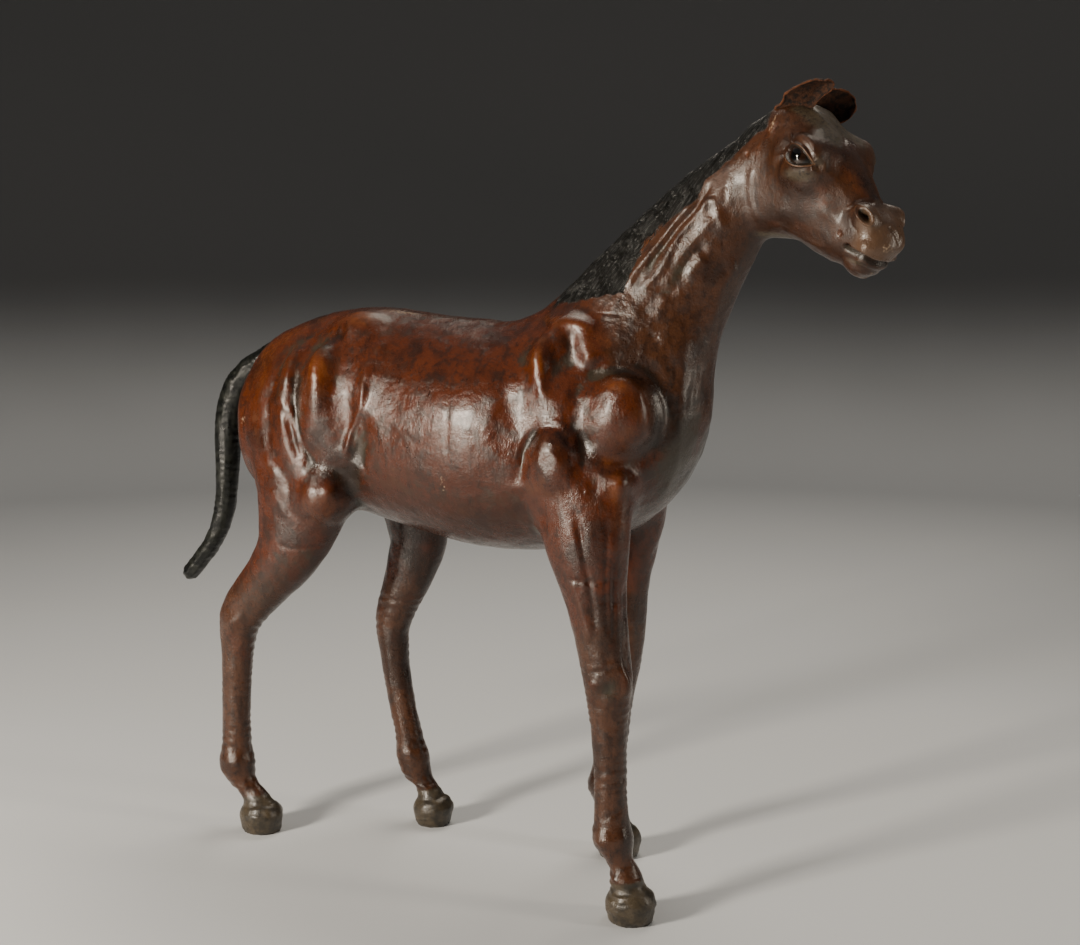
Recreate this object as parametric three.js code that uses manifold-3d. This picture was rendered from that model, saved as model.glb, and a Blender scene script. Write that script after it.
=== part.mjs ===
// A standing horse, shaped over a hard core and covered in one tight skin of polished leather.
// Its glass eyes, cut leather ears and black leather tail are pieces of their own, set into the skin.
// Units are millimetres. +X runs to the horse's nose, +Y to its left side and +Z up.
import * as THREE from "three";
import { mergeVertices } from "three/addons/utils/BufferGeometryUtils.js";
import Module from "manifold-3d";

// Sizes that can be set one by one
const WITHERS_HEIGHT = 560;
const EYE_DIAMETER = 30;
const EYE_OPENING_LENGTH = 25;
const EYE_OPENING_HEIGHT = 17;
const LID_THICKNESS = 3.4;
const EAR_LENGTH = 46;
const EAR_WIDTH = 30;
const EAR_THICKNESS = 3.4;
const EAR_ROOT_DEPTH = 9;
const TAIL_THICKNESS = 30;
const TAIL_ROOT_DEPTH = 20;
const HEAD_TURN_DEG = 20;
const FIT_GAP = 0.4;
const BODY_FACES = 6750;
const TAIL_FACES = 420;

// The figure is drawn as a horse that stands 560 at the withers. Every drawn place and
// half-size below is a share of that height, and so are the grid cells.
const DRAWN_WITHERS = 560;
const SHARE = WITHERS_HEIGHT / DRAWN_WITHERS;
const CELL = 8;

const COLOURS = { leather: 0x5a2c1a, ear: 0x4a2412, glass: 0x0b0806, tail: 0x20221f };

const wasm = await Module();
wasm.setup();

// A station is a centre x, y, z, then half the depth, fore and aft or up and down, and half the width.
const TORSO = [
  [-222, 0, 450, 64, 50],
  [-200, 0, 451, 84, 72],
  [-130, 0, 452, 102, 86],
  [-60, 0, 441, 107, 92],
  [20, 0, 432, 110, 100],
  [90, 0, 435, 107, 94],
  [128, 0, 442, 98, 85],
  [154, 0, 454, 80, 78],
  [168, 0, 464, 60, 70],
];
const NECK = [
  [128, 0, 476, 92, 64],
  [159, 0, 518, 84, 56],
  [184, 0, 559, 71, 44],
  [214, 0, 599, 59, 36],
  [243, 0, 636, 49, 31],
  [269, 0, 664, 38, 29],
  [287, 0, 683, 27, 27],
];
const LEGS = {
  fore_right: [
    [126, -54, 456, 48, 34],
    [144, -64, 400, 46, 32],
    [151, -69, 352, 42, 29],
    [160, -68, 298, 29, 24],
    [168, -67, 252, 25, 21],
    [173, -66, 215, 22.5, 20],
    [173, -66, 186, 18, 16],
    [175, -66, 130, 15, 14],
    [176, -66, 100, 16, 14.5],
    [178, -66, 76, 18, 17],
    [188, -66, 51, 11, 12],
    [192, -66, 37, 17, 16],
    [196, -66, 17, 24, 22],
    [196, -66, -4, 20, 18],
  ],
  fore_left: [
    [116, 54, 456, 48, 34],
    [128, 64, 400, 44, 32],
    [130, 68, 345, 35, 28],
    [128, 68, 296, 24, 22],
    [126, 68, 250, 21, 20],
    [124, 68, 209, 20, 20],
    [120, 68, 180, 17, 16],
    [114, 68, 125, 15, 14],
    [109, 68, 92, 16.5, 14.5],
    [107, 68, 68, 19, 17],
    [113, 68, 44, 11.5, 12],
    [117, 68, 33, 17, 16],
    [120, 68, 17, 23, 22],
    [120, 68, -4, 20, 18],
  ],
  hind_right: [
    [-150, -46, 450, 66, 42],
    [-168, -54, 400, 60, 38],
    [-176, -59, 350, 50, 30],
    [-192, -60, 308, 36, 26],
    [-224, -57, 272, 28, 21],
    [-253, -55, 243, 26, 19],
    [-265, -54, 222, 23, 18],
    [-268, -53, 190, 18, 15],
    [-272, -52.5, 138, 16, 13.5],
    [-273, -52.5, 90, 16.5, 14],
    [-273, -52.5, 66, 18.5, 17],
    [-260, -52.5, 45, 11.5, 11.5],
    [-250, -52.5, 32, 17, 15],
    [-243, -52.5, 17, 24, 21],
    [-243, -52.5, -4, 20, 17],
  ],
  hind_left: [
    [-140, 46, 450, 64, 42],
    [-130, 54, 400, 54, 38],
    [-116, 57, 350, 41, 30],
    [-111, 57, 307, 32, 25],
    [-123, 55, 268, 27, 21],
    [-135, 54, 240, 23, 19],
    [-143, 53, 214, 20, 17],
    [-141, 52, 186, 16, 15],
    [-132, 51.5, 131, 15, 13.5],
    [-121, 51.5, 88, 15, 14],
    [-116, 51.5, 62, 17, 16],
    [-104, 51.5, 44, 11, 11.5],
    [-98, 51.5, 31, 16, 15],
    [-93, 51.5, 17, 22, 20],
    [-93, 51.5, -4, 17, 16],
  ],
};

// Muscles that stand out on both sides: centre, radii, pitch in degrees, and the fillet round them.
const MUSCLES = {
  shoulder_ball: [[181, 60, 466], [32, 27, 41], 0, 6],
  triceps: [[129, 72, 424], [28, 31, 38], 4, 6],
  hip_bone: [[-112, 36, 524], [30, 26, 24], 0, 14],
  thigh_front: [[-130, 58, 468], [21, 38, 58], 6, 7],
  thigh_middle: [[-170, 54, 462], [17, 34, 60], 4, 7],
  buttock: [[-216, 42, 424], [44, 36, 70], 8, 12],
};
// Knots that follow the pose of their own leg: the stifles, and a small one below each shoulder ball
const KNOTS = [
  [[-134, -68, 374], [28, 28, 32], 10, 8],
  [[-94, 68, 374], [28, 28, 32], -10, 8],
  [[182, -70, 404], [13, 14, 14], 0, 8],
  [[165, 72, 404], [13, 14, 14], 0, 8],
];
// Hollows cut into both sides, in the same form
const HOLLOWS = {
  flank: [[-88, 118, 430], [14, 30, 58], 8, 20],
  shoulder: [[132, 106, 500], [11, 26, 16], 0, 12],
  behind_shoulder: [[92, 122, 462], [16, 30, 40], 0, 20],
};
// The horseshoe ridge of the shoulder blade
const BLADE = [
  [112, 72, 478, 9, 12],
  [106, 68, 510, 11, 15],
  [118, 50, 536, 12, 16],
  [140, 44, 538, 12, 18],
  [154, 56, 514, 9, 12],
];
// Lines pressed into both sides, seen from the side as x, z, with their depth and half-width. A line
// with a negative depth stands out.
const FOLDS = [
  { line: [[-123, 529], [-154, 512], [-161, 468], [-156, 424], [-140, 406]], depth: 5, width: 7 },
  { line: [[-150, 540], [-188, 505], [-196, 460], [-187, 415], [-168, 388]], depth: 3.5, width: 7 },
  { line: [[-226, 493], [-242, 444], [-236, 398], [-228, 363]], depth: 3, width: 7 },
  { line: [[-73, 520], [-80, 478], [-92, 443], [-100, 408]], depth: -3.5, width: 6 },
  {
    line: [[94, 408], [99, 436], [112, 456], [126, 461], [142, 455], [154, 440], [158, 420]],
    depth: 4,
    width: 6,
  },
];
// The ring groove round the shoulder ball, with the angle from square by which it faces forward
const RING = { at: [184, 68, 466], radius: 42, depth: 5.5, width: 7, facing: 28 };

// The head's own frame is at the poll: x along the level face, y to the left, z up.
const POLL = [300, 0, 712];
const SKULL = [
  [-8, 0, -22, 34, 28],
  [20, 0, -28, 44, 34],
  [46, 0, -53, 45, 32],
  [72, 0, -79, 37, 25],
  [93, 0, -91, 26, 23],
  [104, 0, -96, 22, 23],
];
const CHEEK = [[6, 0, -58], [36, 30, 35], -20, 14];
const FOREHEAD = [[26, 0, 2], [28, 26, 17], -15, 12];
const LIP = [[108, 0, -101], [15, 23, 12], -15, 7];
const CHIN = [[91, 0, -115], [16, 15, 12], -15, 5];
const NOSTRIL = [[105, 18, -77], [13, 9, 10], -40, 7];
const BROW = { longer: 4, pitch: -25, fillet: 20 };
const EYE_PLACE = [54, 30, -29];
const EYE_SLOPE_DEG = -32;
const EYE_FORWARD_DEG = 14;
const EYE_LIFT = 0.08;
// Each ear's root, the way its leaf runs, the way its hollow side faces, and its share of the length
const EARS = {
  ear_right: { root: [19, -14, 14], along: [41, 2, 15], hollow: [6, -18, -13], share: 1 },
  ear_left: { root: [22, 15, 15], along: [34, 20, 4], hollow: [12, -28, -4], share: 0.8 },
};

const TAIL_DRAWN_THICKNESS = 30;
const TAIL = [
  [-262, 0, 499, 12, 13],
  [-288, 0, 483, 14, 14],
  [-306, 0, 459, 16, 15],
  [-317, 0, 425, 15, 14.5],
  [-319, 0, 380, 13.5, 13],
  [-324, 0, 335, 12, 12],
  [-337, 0, 303, 10.5, 11],
  [-356, 0, 278, 10, 10.5],
  [-376, 0, 257, 10, 10.5],
];

const radians = THREE.MathUtils.degToRad;

// Fields: each is a function of x, y, z that gives the distance to a form, negative inside it.

function ellipsoid([cx, cy, cz], [rx, ry, rz], pitch = 0) {
  const c = Math.cos(radians(pitch));
  const s = Math.sin(radians(pitch));
  return (x, y, z) => {
    const dx = x - cx;
    const dz = z - cz;
    const a = (c * dx + s * dz) / rx;
    const b = (y - cy) / ry;
    const e = (c * dz - s * dx) / rz;
    const k0 = Math.hypot(a, b, e);
    const k1 = Math.hypot(a / rx, b / ry, e / rz);
    return k1 > 1e-9 ? (k0 * (k0 - 1)) / k1 : -Math.min(rx, ry, rz);
  };
}

// The stations of a limb and the places between them on a Catmull-Rom curve.
function smoothStations(stations, steps = 4) {
  const last = stations.length - 1;
  const station = (i) => stations[Math.min(Math.max(i, 0), last)];
  const dense = [];
  for (let i = 0; i < last; i++)
    for (let j = 0; j < steps; j++) {
      const t = j / steps;
      dense.push(
        station(i).map((p1, k) => {
          const [p0, p2, p3] = [station(i - 1)[k], station(i + 1)[k], station(i + 2)[k]];
          const bend = 2 * p0 - 5 * p1 + 4 * p2 - p3 + t * (3 * (p1 - p2) + p3 - p0);
          return p1 + 0.5 * t * (p2 - p0 + t * bend);
        }),
      );
    }
  return [...dense, stations[last]];
}

// A limb is a chain of tapered rods with an oval section. Far from it the field is just a large number.
const FAR = 60;

function limb(stations) {
  const dense = smoothStations(stations);
  const low = [0, 1, 2].map((k) => Math.min(...dense.map((s) => s[k] - Math.max(s[3], s[4]))) - FAR);
  const high = [0, 1, 2].map((k) => Math.max(...dense.map((s) => s[k] + Math.max(s[3], s[4]))) + FAR);
  const rods = dense.slice(1).map((b, i) => {
    const a = dense[i];
    const run = new THREE.Vector3(b[0] - a[0], b[1] - a[1], b[2] - a[2]);
    const along = run.clone().normalize();
    const across = new THREE.Vector3(0, 1, 0).addScaledVector(along, -along.y).normalize();
    const deep = new THREE.Vector3().crossVectors(along, across);
    const most = Math.max(a[3], a[4], b[3], b[4]);
    return { a, b, run, length2: run.lengthSq(), along, across, deep, most };
  });
  return (x, y, z) => {
    if (x < low[0] || y < low[1] || z < low[2] || x > high[0] || y > high[1] || z > high[2]) return FAR;
    let nearest = FAR;
    for (const { a, b, run, length2, along, across, deep, most } of rods) {
      let qx = x - a[0];
      let qy = y - a[1];
      let qz = z - a[2];
      const t = Math.min(Math.max((qx * run.x + qy * run.y + qz * run.z) / length2, 0), 1);
      qx -= t * run.x;
      qy -= t * run.y;
      qz -= t * run.z;
      if (Math.sqrt(qx * qx + qy * qy + qz * qz) - most > nearest) continue;
      const halfDepth = a[3] + t * (b[3] - a[3]);
      const halfWidth = a[4] + t * (b[4] - a[4]);
      const end = Math.min(halfDepth, halfWidth);
      const n = (qx * deep.x + qy * deep.y + qz * deep.z) / halfDepth;
      const u = (qx * across.x + qy * across.y + qz * across.z) / halfWidth;
      const e = (qx * along.x + qy * along.y + qz * along.z) / end;
      const k0 = Math.sqrt(n * n + u * u + e * e);
      const k1 = Math.sqrt((n / halfDepth) ** 2 + (u / halfWidth) ** 2 + (e / end) ** 2);
      nearest = Math.min(nearest, k1 > 1e-9 ? (k0 * (k0 - 1)) / k1 : -end);
    }
    return nearest;
  };
}

// Joins two forms with a fillet of about the given size.
function join(a, b, fillet) {
  const h = Math.max(fillet - Math.abs(a - b), 0) / fillet;
  return Math.min(a, b) - (h * h * fillet) / 4;
}

// Takes form b out of form a, with a rounded edge.
function carve(a, b, fillet) {
  return -join(-a, b, fillet);
}

// How deep the skin lies under a pressed line, at a distance from the line.
const pressed = (depth, width, away) => depth * Math.exp(-((away / width) ** 2));

function ringDepth({ at, radius, depth, width, facing }) {
  const nx = Math.sin(radians(facing));
  const ny = Math.cos(radians(facing));
  return (x, y, z) => {
    const side = (x - at[0]) * ny - (y - at[1]) * nx;
    return pressed(depth, width, Math.hypot(side, z - at[2]) - radius);
  };
}

function foldDepth({ line, depth, width }) {
  const parts = line.slice(1).map(([bx, bz], i) => {
    const [ax, az] = line[i];
    return { ax, az, rx: bx - ax, rz: bz - az, length2: (bx - ax) ** 2 + (bz - az) ** 2 };
  });
  return (x, z) => {
    let near2 = FAR * FAR;
    for (const { ax, az, rx, rz, length2 } of parts) {
      const t = Math.min(Math.max(((x - ax) * rx + (z - az) * rz) / length2, 0), 1);
      near2 = Math.min(near2, (x - ax - t * rx) ** 2 + (z - az - t * rz) ** 2);
    }
    return pressed(depth, width, Math.sqrt(near2));
  };
}

// The fields of a list of ellipsoids, each with its fillet.
const lumps = (list) => list.map(([at, radii, pitch, fillet]) => [ellipsoid(at, radii, pitch), fillet]);

function headField() {
  const skull = limb(SKULL);
  const knobs = lumps([CHEEK, FOREHEAD, LIP, CHIN]);
  const nostril = ellipsoid(...NOSTRIL);
  // The lids lie on the eyeball, so their bulge follows its size.
  const lid = (EYE_DIAMETER / 2 + LID_THICKNESS) / SHARE;
  const brow = ellipsoid(EYE_PLACE, [lid + BROW.longer, lid, lid + 1], BROW.pitch);
  return (x, y, z) => {
    const side = Math.abs(y);
    let d = skull(x, y, z);
    for (const [knob, fillet] of knobs) d = join(d, knob(x, y, z), fillet);
    d = join(d, brow(x, side, z), BROW.fillet);
    return join(d, nostril(x, side, z), NOSTRIL[3]);
  };
}

const headTurn = radians(HEAD_TURN_DEG);
const headFrame = new THREE.Matrix4().makeRotationZ(-headTurn).setPosition(...POLL);

// The fillets where the large forms meet, and the lowest place of the muscles
const FILLETS = { neck: 30, leg: 22, blade: 9, head: 14 };
const MUSCLES_FROM = 300;
const FOLDS_FROM_SIDE = 30;

function bodyField() {
  const torso = limb(TORSO);
  const neck = limb(NECK);
  const legs = Object.values(LEGS).map((stations) => limb(stations));
  const blade = limb(BLADE);
  const ring = ringDepth(RING);
  const folds = FOLDS.map(foldDepth);
  const head = headField();
  const muscles = lumps(Object.values(MUSCLES));
  const hollows = lumps(Object.values(HOLLOWS));
  const knots = lumps(KNOTS);
  const headReach = SKULL.at(-1)[0] + FAR;
  return (x, y, z) => {
    const side = Math.abs(y);
    let d = join(torso(x, y, z), neck(x, y, z), FILLETS.neck);
    for (const leg of legs) d = join(d, leg(x, y, z), FILLETS.leg);
    if (z > MUSCLES_FROM) {
      for (const [hollow, fillet] of hollows) d = carve(d, hollow(x, side, z), fillet);
      d = join(d, blade(x, side, z), FILLETS.blade);
      for (const [muscle, fillet] of muscles) d = join(d, muscle(x, side, z), fillet);
      for (const [knot, fillet] of knots) d = join(d, knot(x, y, z), fillet);
      if (side > FOLDS_FROM_SIDE) {
        d += ring(x, side, z);
        for (const fold of folds) d += fold(x, z);
      }
    }
    const dx = x - POLL[0];
    const dy = y - POLL[1];
    if (Math.hypot(dx, z - POLL[2]) > headReach) return d;
    const forward = Math.cos(headTurn) * dx - Math.sin(headTurn) * dy;
    const left = Math.sin(headTurn) * dx + Math.cos(headTurn) * dy;
    return join(d, head(forward, left, z - POLL[2]), FILLETS.head);
  };
}

// The values of a field at the corners of a grid. Blocks that the surface can't reach get one value.
function sample(field, axes) {
  const BLOCK = 4;
  const [X, Y, Z] = axes;
  const values = new Float64Array(X.length * Y.length * Z.length);
  for (let i = 0; i < X.length; i += BLOCK)
    for (let j = 0; j < Y.length; j += BLOCK)
      for (let k = 0; k < Z.length; k += BLOCK) {
        const end = (axis, at) => axis[Math.min(at + BLOCK, axis.length) - 1];
        const ends = [[X[i], end(X, i)], [Y[j], end(Y, j)], [Z[k], end(Z, k)]];
        const middle = ends.map(([a, b]) => (a + b) / 2);
        const reach = Math.hypot(...ends.map(([a, b]) => (b - a) / 2)) * 1.6;
        const d = field(...middle);
        const clear = Math.abs(d) > reach;
        for (let a = i; a < Math.min(i + BLOCK, X.length); a++)
          for (let b = j; b < Math.min(j + BLOCK, Y.length); b++)
            for (let c = k; c < Math.min(k + BLOCK, Z.length); c++)
              values[(a * Y.length + b) * Z.length + c] = clear ? d : field(X[a], Y[b], Z[c]);
      }
  return values;
}

// A grid square whose corners alternate in and out would pinch the surface, so its weakest corner
// changes side.
function unpinch(values, at, [nx, ny, nz]) {
  const squares = [[[1, 0, 0], [0, 1, 0]], [[0, 1, 0], [0, 0, 1]], [[1, 0, 0], [0, 0, 1]]];
  let changed = true;
  while (changed) {
    changed = false;
    for (let i = 0; i + 1 < nx; i++)
      for (let j = 0; j + 1 < ny; j++)
        for (let k = 0; k + 1 < nz; k++)
          for (const [u, v] of squares) {
            const places = [[0, 0], [1, 0], [1, 1], [0, 1]].map(([p, q]) =>
              at(i + p * u[0] + q * v[0], j + p * u[1] + q * v[1], k + p * u[2] + q * v[2]),
            );
            const [a, b, c, d] = places.map((place) => values[place] < 0);
            if (a !== c || b !== d || a === b) continue;
            const weakest = places.reduce((x, y) => (Math.abs(values[x]) < Math.abs(values[y]) ? x : y));
            values[weakest] = values[weakest] < 0 ? 0.01 : -0.01;
            changed = true;
          }
  }
}

// The surface of a field as a closed mesh, with one point in each grid cell that it crosses.
function surfaceNet(field, low, high, cell) {
  const axes = low.map((from, k) => {
    const steps = Math.ceil((high[k] - from) / cell);
    return Array.from({ length: steps + 1 }, (_, i) => from + i * cell);
  });
  const [X, Y, Z] = axes;
  const values = sample(field, axes);
  const at = (i, j, k) => (i * Y.length + j) * Z.length + k;
  unpinch(values, at, [X.length, Y.length, Z.length]);
  const corners = [0, 1, 2, 3, 4, 5, 6, 7].map((c) => [c & 1, (c >> 1) & 1, (c >> 2) & 1]);
  const edges = corners.flatMap((a) =>
    [0, 1, 2].filter((k) => !a[k]).map((k) => [a, a.map((v, n) => (n === k ? 1 : v))]),
  );
  const pointOf = new Map();
  const points = [];
  for (let i = 0; i + 1 < X.length; i++)
    for (let j = 0; j + 1 < Y.length; j++)
      for (let k = 0; k + 1 < Z.length; k++) {
        const crossings = [];
        for (const [a, b] of edges) {
          const va = values[at(i + a[0], j + a[1], k + a[2])];
          const vb = values[at(i + b[0], j + b[1], k + b[2])];
          if (va < 0 === vb < 0) continue;
          crossings.push(a.map((v, n) => v + (va / (va - vb)) * (b[n] - v)));
        }
        if (!crossings.length) continue;
        pointOf.set(at(i, j, k), points.length);
        const mean = (n) => crossings.reduce((sum, c) => sum + c[n], 0) / crossings.length;
        points.push(settle(field, [X[i] + cell * mean(0), Y[j] + cell * mean(1), Z[k] + cell * mean(2)]));
      }
  const faces = [];
  const quad = (cells, turned) => {
    const q = cells.map((c) => pointOf.get(at(...c)));
    if (turned) q.reverse();
    const span = (a, b) => Math.hypot(...points[q[a]].map((v, n) => v - points[q[b]][n]));
    const [a, b, c, d] = span(0, 2) < span(1, 3) ? q : [...q.slice(1), q[0]];
    faces.push([a, b, c], [a, c, d]);
  };
  for (let i = 1; i + 1 < X.length; i++)
    for (let j = 1; j + 1 < Y.length; j++)
      for (let k = 1; k + 1 < Z.length; k++) {
        const inside = values[at(i, j, k)] < 0;
        if (inside !== values[at(i + 1, j, k)] < 0)
          quad([[i, j - 1, k - 1], [i, j, k - 1], [i, j, k], [i, j - 1, k]], !inside);
        if (inside !== values[at(i, j + 1, k)] < 0)
          quad([[i - 1, j, k - 1], [i - 1, j, k], [i, j, k], [i, j, k - 1]], !inside);
        if (inside !== values[at(i, j, k + 1)] < 0)
          quad([[i - 1, j - 1, k], [i, j - 1, k], [i, j, k], [i - 1, j, k]], !inside);
      }
  return { points, faces };
}

// Moves a point onto the surface of a field.
function settle(field, point) {
  const STEP = 0.4;
  const d = field(...point);
  const slope = [0, 1, 2].map((k) => (field(...point.map((v, n) => (n === k ? v + STEP : v))) - d) / STEP);
  const steep = Math.max(slope[0] ** 2 + slope[1] ** 2 + slope[2] ** 2, 0.3);
  const moved = point.map((v, k) => v - (d * slope[k]) / steep);
  const rest = field(...moved);
  return moved.map((v, k) => v - (rest * slope[k]) / steep);
}

// A min-heap of entries with a cost.
class Heap {
  items = [];
  push(entry) {
    const { items } = this;
    let i = items.push(entry) - 1;
    for (let up = (i - 1) >> 1; i > 0 && items[up].cost > items[i].cost; up = (i - 1) >> 1) {
      [items[up], items[i]] = [items[i], items[up]];
      i = up;
    }
  }
  pop() {
    const { items } = this;
    const top = items[0];
    const end = items.pop();
    if (!items.length) return top;
    items[0] = end;
    for (let i = 0; ; ) {
      let least = i;
      for (const child of [2 * i + 1, 2 * i + 2])
        if (child < items.length && items[child].cost < items[least].cost) least = child;
      if (least === i) return top;
      [items[least], items[i]] = [items[i], items[least]];
      i = least;
    }
  }
}

const subtract = (a, b) => [a[0] - b[0], a[1] - b[1], a[2] - b[2]];
const dot = (a, b) => a[0] * b[0] + a[1] * b[1] + a[2] * b[2];
const cross = (a, b) => [a[1] * b[2] - a[2] * b[1], a[2] * b[0] - a[0] * b[2], a[0] * b[1] - a[1] * b[0]];
const normalOf = (a, b, c) => cross(subtract(b, a), subtract(c, a));

// Takes edges out of a closed mesh, the flattest first, until it has no more than so many faces, or
// has none left that is no longer than the given length. Each point keeps the planes of the faces
// that it has stood for, as a quadric of ten numbers. Faces where the care is higher are kept longer.
function thinOut({ points, faces }, { most = 0, longest = Infinity, careAt = () => 1 }) {
  const EVEN_EDGES = 2e-4;
  const LEAST_FACE = 0.05;
  const around = points.map(() => new Set());
  faces.forEach((face, f) => face.forEach((p) => around[p].add(f)));
  const quadrics = points.map(() => new Float64Array(10));
  for (const face of faces) {
    const n = normalOf(...face.map((p) => points[p]));
    const twice = Math.hypot(...n) || 1;
    const [a, b, c] = n.map((v) => v / twice);
    const d = -dot([a, b, c], points[face[0]]);
    const terms = [a * a, a * b, a * c, a * d, b * b, b * c, b * d, c * c, c * d, d * d];
    const weight = (careAt(points[face[0]]) * twice) / 2;
    for (const p of face) terms.forEach((v, i) => (quadrics[p][i] += v * weight));
  }
  const bend = (q, [x, y, z]) =>
    q[0] * x * x + q[4] * y * y + q[7] * z * z + q[9] +
    2 * (q[1] * x * y + q[2] * x * z + q[3] * x + q[5] * y * z + q[6] * y + q[8] * z);
  const stamps = new Int32Array(points.length);
  const heap = new Heap();
  const offer = (a, b) => {
    const length2 = dot(subtract(points[a], points[b]), subtract(points[a], points[b]));
    if (length2 > longest * longest) return;
    const q = quadrics[a].map((v, i) => v + quadrics[b][i]);
    const [u, v, w] = [[q[0], q[1], q[2]], [q[1], q[4], q[5]], [q[2], q[5], q[7]]];
    const whole = dot(u, cross(v, w));
    const middle = points[a].map((c, i) => (c + points[b][i]) / 2);
    const spot = [middle];
    const side = -1 / whole;
    const right = [q[3], q[6], q[8]];
    if (Math.abs(whole) > 1e-3 * (q[0] + q[4] + q[7]) ** 3)
      spot.push([dot(right, cross(v, w)), dot(u, cross(right, w)), dot(u, cross(v, right))].map((n) => side * n));
    const best = spot.at(-1);
    const near = dot(subtract(best, middle), subtract(best, middle)) < length2 ? best : middle;
    const even = EVEN_EDGES * careAt(near) * length2 ** 2;
    heap.push({ cost: bend(q, near) + even, a, b, to: near, stamp: stamps[a] + stamps[b] });
  };
  const neighbours = (p) => new Set([...around[p]].flatMap((f) => faces[f]).filter((n) => n !== p));
  points.forEach((_, a) => neighbours(a).forEach((b) => a < b && offer(a, b)));
  const areas = faces.map((face) => Math.hypot(...normalOf(...face.map((p) => points[p]))));
  const least = (LEAST_FACE * areas.reduce((sum, area) => sum + area, 0)) / faces.length;
  const turnsOver = (p, other, to) =>
    [...around[p]].some((f) => {
      if (faces[f].includes(other)) return false;
      const before = normalOf(...faces[f].map((n) => points[n]));
      const after = normalOf(...faces[f].map((n) => (n === p ? to : points[n])));
      const [areaBefore, areaAfter] = [Math.hypot(...before), Math.hypot(...after)];
      return dot(before, after) < 0.5 * areaBefore * areaAfter || areaAfter < Math.min(areaBefore, least);
    });
  let left = faces.length;
  while (left > most && heap.items.length) {
    const { a, b, to, stamp } = heap.pop();
    if (!around[a].size || !around[b].size || stamp !== stamps[a] + stamps[b]) continue;
    const [na, nb] = [neighbours(a), neighbours(b)];
    if (!na.has(b) || [...na].filter((n) => nb.has(n)).length !== 2) continue;
    if (turnsOver(a, b, to) || turnsOver(b, a, to)) continue;
    for (const f of [...around[b]])
      if (faces[f].includes(a)) {
        faces[f].forEach((p) => around[p].delete(f));
        faces[f] = null;
        left--;
      } else {
        faces[f] = faces[f].map((p) => (p === b ? a : p));
        around[a].add(f);
      }
    around[b].clear();
    points[a] = to;
    quadrics[b].forEach((v, i) => (quadrics[a][i] += v));
    stamps[a]++;
    for (const n of neighbours(a)) offer(a, n);
  }
  return { points, faces: faces.filter(Boolean) };
}

// Solids and meshes

function solid({ points, faces }) {
  const used = new Map();
  for (const p of faces.flat()) if (!used.has(p)) used.set(p, used.size);
  const vertProperties = new Float32Array([...used.keys()].flatMap((p) => points[p]));
  const triVerts = new Uint32Array(faces.flat().map((p) => used.get(p)));
  return new wasm.Manifold(new wasm.Mesh({ numProp: 3, vertProperties, triVerts }));
}

function solidOfGeometry(geometry, matrix) {
  const bare = new THREE.BufferGeometry();
  bare.setAttribute("position", geometry.getAttribute("position").clone());
  bare.setIndex(geometry.index);
  const merged = mergeVertices(bare.applyMatrix4(matrix), 1e-3);
  const corners = [...merged.index.array];
  const apart = (i) => new Set(corners.slice(i, i + 3)).size === 3;
  return new wasm.Manifold(
    new wasm.Mesh({
      numProp: 3,
      vertProperties: merged.attributes.position.array,
      triVerts: new Uint32Array(corners.filter((_, i) => apart(i - (i % 3)))),
    }),
  );
}

function meshData(made) {
  const { numProp, vertProperties, triVerts } = made.getMesh();
  const row = (array, from) => [...array.subarray(from, from + 3)];
  const rows = (array, width) =>
    Array.from({ length: array.length / width }, (_, i) => row(array, i * width));
  return { points: rows(vertProperties, numProp), faces: rows(triVerts, 3) };
}

function meshOf(name, made, colour, roughness) {
  const { points, faces } = meshData(made);
  const geometry = new THREE.BufferGeometry();
  geometry.setAttribute("position", new THREE.Float32BufferAttribute(points.flat(), 3));
  geometry.setIndex(faces.flat());
  geometry.computeVertexNormals();
  const material = new THREE.MeshStandardMaterial({ color: colour, roughness, metalness: 0 });
  const mesh = new THREE.Mesh(geometry, material);
  mesh.name = name;
  return mesh;
}

const scaled = ({ points, faces }) => ({ points: points.map((p) => p.map((v) => v * SHARE)), faces });

// A mesh with each point moved out by a gap, for the socket of the piece.
function grown({ points, faces }, gap) {
  const normals = points.map(() => [0, 0, 0]);
  for (const face of faces) {
    const n = normalOf(...face.map((p) => points[p]));
    for (const p of face) normals[p] = normals[p].map((v, k) => v + n[k]);
  }
  const moved = (p, n) => p.map((v, k) => v + (gap * n[k]) / (Math.hypot(...n) || 1));
  return { points: points.map((p, i) => moved(p, normals[i])), faces };
}

// The head's frame in real millimetres.
function inHead() {
  const place = new THREE.Vector3().setFromMatrixPosition(headFrame).multiplyScalar(SHARE);
  return headFrame.clone().setPosition(place);
}

// An eye's own frame has x along the opening, y up it and z out of the face.
function eyeFrame(side) {
  const place = new THREE.Vector3(...EYE_PLACE).multiplyScalar(SHARE);
  place.y *= side;
  const turn = radians(EYE_FORWARD_DEG);
  const out = new THREE.Vector3(Math.sin(turn), side * Math.cos(turn), EYE_LIFT).normalize();
  const level = new THREE.Vector3(0, 0, 1).cross(out).multiplyScalar(-side).normalize();
  const up = new THREE.Vector3().crossVectors(out, level);
  if (up.z < 0) up.negate();
  const x = new THREE.Vector3().crossVectors(up, out).normalize();
  const frame = new THREE.Matrix4().makeBasis(x, up, out).setPosition(place);
  return inHead().multiply(frame).multiply(new THREE.Matrix4().makeRotationZ(side * radians(-EYE_SLOPE_DEG)));
}

// An odd number of rows keeps the sphere's corners off the line between the corners of the lids.
function eyeball(side, gap) {
  return solidOfGeometry(new THREE.SphereGeometry(EYE_DIAMETER / 2 + gap, 16, 11), eyeFrame(side));
}

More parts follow.
